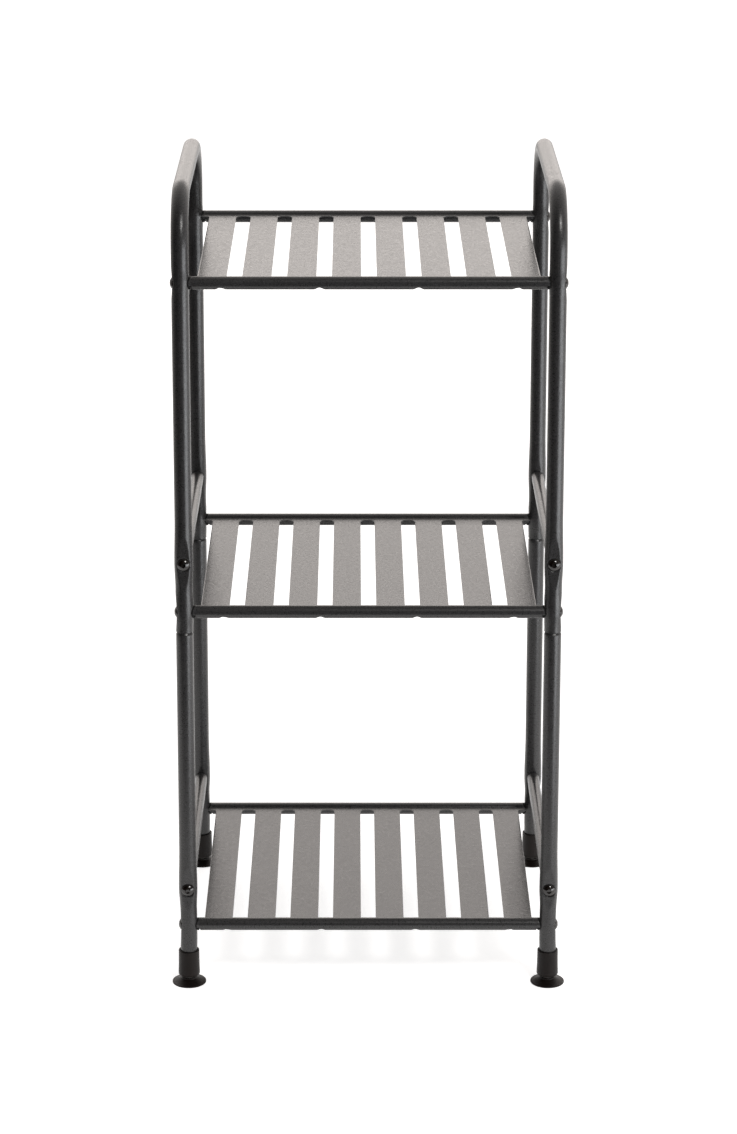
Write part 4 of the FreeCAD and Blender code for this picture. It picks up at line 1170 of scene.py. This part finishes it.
class SHELVING_OT_stage(PieceOperator, bpy.types.Operator):
    """Lay the floor, hang the lights and stand the camera"""
    bl_idname = "shelving.stage"
    bl_label = "Stage"

    def execute(self, context):
        settings = context.scene.shelving_stage
        self.lay_floor(context, settings)
        self.light_world(context)
        self.hang_lamps(context)
        self.stand_camera(context, settings)
        context.scene.view_settings.view_transform = "Standard"
        return {"FINISHED"}

    def seen_by(self, tree, *rays):
        """One where a ray is of one of the kinds named, else nought."""
        path = add(tree, "ShaderNodeLightPath")
        seen = path.outputs[rays[0]]
        for ray in rays[1:]:
            seen = calculate(tree, "MAXIMUM", seen, path.outputs[ray])
        return seen

    def lay_floor(self, context, settings):
        """A white sheet that ends just before the picture, plain white to the camera but for the shadow."""
        left, right, front, rear = -1.4, 4.0, -0.6, 9.0
        corners = [(left, front, 0.0), (right, front, 0.0), (right, rear, 0.0), (left, rear, 0.0)]
        mesh = bpy.data.meshes.new("floor")
        mesh.from_pydata(corners, [], [(0, 1, 2, 3)])
        floor = bpy.data.objects.new("floor", mesh)
        context.scene.collection.objects.link(floor)
        material = bpy.data.materials.new("pale_floor")
        tree = new_tree(material)
        matt = add(tree, "ShaderNodeBsdfDiffuse", {"Color": opaque(settings.floor)})
        seen = self.seen_by(tree, "Is Camera Ray", "Is Glossy Ray", "Is Transmission Ray")
        lift = calculate(tree, "MULTIPLY", seen, settings.lift)
        glow = add(tree, "ShaderNodeEmission", {"Color": (1.0, 1.0, 1.0, 1.0), "Strength": lift})
        both = add(tree, "ShaderNodeAddShader", {0: matt.outputs[0], 1: glow.outputs[0]})
        add(tree, "ShaderNodeOutputMaterial", {"Surface": both.outputs[0]})
        floor.data.materials.append(material)

    def light_world(self, context):
        """A studio with a white backdrop behind the object, dim on the left and dark on the camera's side."""
        world = bpy.data.worlds.new("studio")
        context.scene.world = world
        tree = new_tree(world)
        way = add(tree, "ShaderNodeTexCoord").outputs["Generated"]
        parts = add(tree, "ShaderNodeSeparateXYZ", {0: way}).outputs
        back = spread(tree, parts["Y"], -0.45, 0.6, 0.045, 1.0)
        side = spread(tree, parts["X"], -0.8, 0.8, -0.1, 0.14)
        level = calculate(tree, "ADD", back, side, clamp=True)
        seen = self.seen_by(tree, "Is Camera Ray", "Is Transmission Ray")
        strength = add(tree, "ShaderNodeMix", {0: seen, 2: level, 3: 1.0}).outputs[0]
        tint = blend_colours(tree, seen, (1.0, 0.955, 0.925, 1.0), (1.0, 1.0, 1.0, 1.0))
        light = add(tree, "ShaderNodeBackground", {"Color": tint, "Strength": strength})
        add(tree, "ShaderNodeOutputWorld", {"Surface": light.outputs[0]})

    def hang_lamps(self, context):
        """A low wide box and a small high key, both in front on the right, and a wide lamp over the back.

        Each has its place, its width and height, its power and its colour.
        """
        lamps = {
            "box": ((1.95, -1.35, -0.05), (2.0, 1.2), 42.0, (0.95, 0.97, 1.0)),
            "key": ((1.23, -2.12, 2.55), (0.8, 0.7), 38.0, (1.0, 0.98, 0.96)),
            "back": ((0.0, 3.2, 1.6), (3.4, 1.9), 24.0, (1.0, 0.925, 0.875)),
        }
        aim = Vector((0, 0, TOP / 2))
        for name, (place, size, power, tint) in lamps.items():
            data = bpy.data.lights.new(name, "AREA")
            data.shape = "RECTANGLE"
            data.size, data.size_y = size
            data.energy = power
            data.color = tint
            lamp = bpy.data.objects.new(name, data)
            lamp.location = place
            lamp.rotation_euler = (aim - Vector(place)).to_track_quat("-Z", "Y").to_euler()
            lamp.visible_camera = False
            context.scene.collection.objects.link(lamp)

    def stand_camera(self, context, settings):
        """A camera at the photograph's viewing point, looking down at the unit."""
        data = bpy.data.cameras.new("camera")
        data.lens = settings.lens
        data.sensor_width = 36.0
        data.sensor_fit = "AUTO"
        data.shift_x, data.shift_y = settings.shift
        data.clip_end = 100.0
        camera = bpy.data.objects.new("camera", data)
        camera.location = settings.eye
        camera.rotation_euler = (QUARTER - settings.pitch, 0, 0)
        context.scene.collection.objects.link(camera)
        context.scene.camera = camera


class SHELVING_PT_pieces(bpy.types.Panel):
    """Sidebar panel with a button for each group of pieces"""
    bl_idname = "SHELVING_PT_pieces"
    bl_label = "Slatted shelving unit"
    bl_space_type = "VIEW_3D"
    bl_region_type = "UI"
    bl_category = "Shelving"

    def draw(self, context):
        for operator in OPERATORS:
            self.layout.operator(operator.bl_idname)


OPERATORS = (SHELVING_OT_side_frames, SHELVING_OT_lower_legs, SHELVING_OT_shelves, SHELVING_OT_side_rails,
             SHELVING_OT_end_plugs, SHELVING_OT_bolts, SHELVING_OT_foot_sleeves, SHELVING_OT_feet,
             SHELVING_OT_stage)


def register():
    """Register the size groups, the operators and the panel."""
    for name, group in GROUPS.items():
        bpy.utils.register_class(group)
        setattr(bpy.types.Scene, name, bpy.props.PointerProperty(type=group))
    for operator in OPERATORS:
        bpy.utils.register_class(operator)
    bpy.utils.register_class(SHELVING_PT_pieces)


def unregister():
    """Take them out again, in reverse."""
    bpy.utils.unregister_class(SHELVING_PT_pieces)
    for operator in reversed(OPERATORS):
        bpy.utils.unregister_class(operator)
    for name, group in reversed(GROUPS.items()):
        delattr(bpy.types.Scene, name)
        bpy.utils.unregister_class(group)


def main():
    """Make every piece in order."""
    register()
    for operator in OPERATORS:
        family, name = operator.bl_idname.split(".")
        if getattr(getattr(bpy.ops, family), name)() != {"FINISHED"}:
            raise RuntimeError(f"{operator.bl_label} did not finish")


if __name__ == "__main__":
    main()
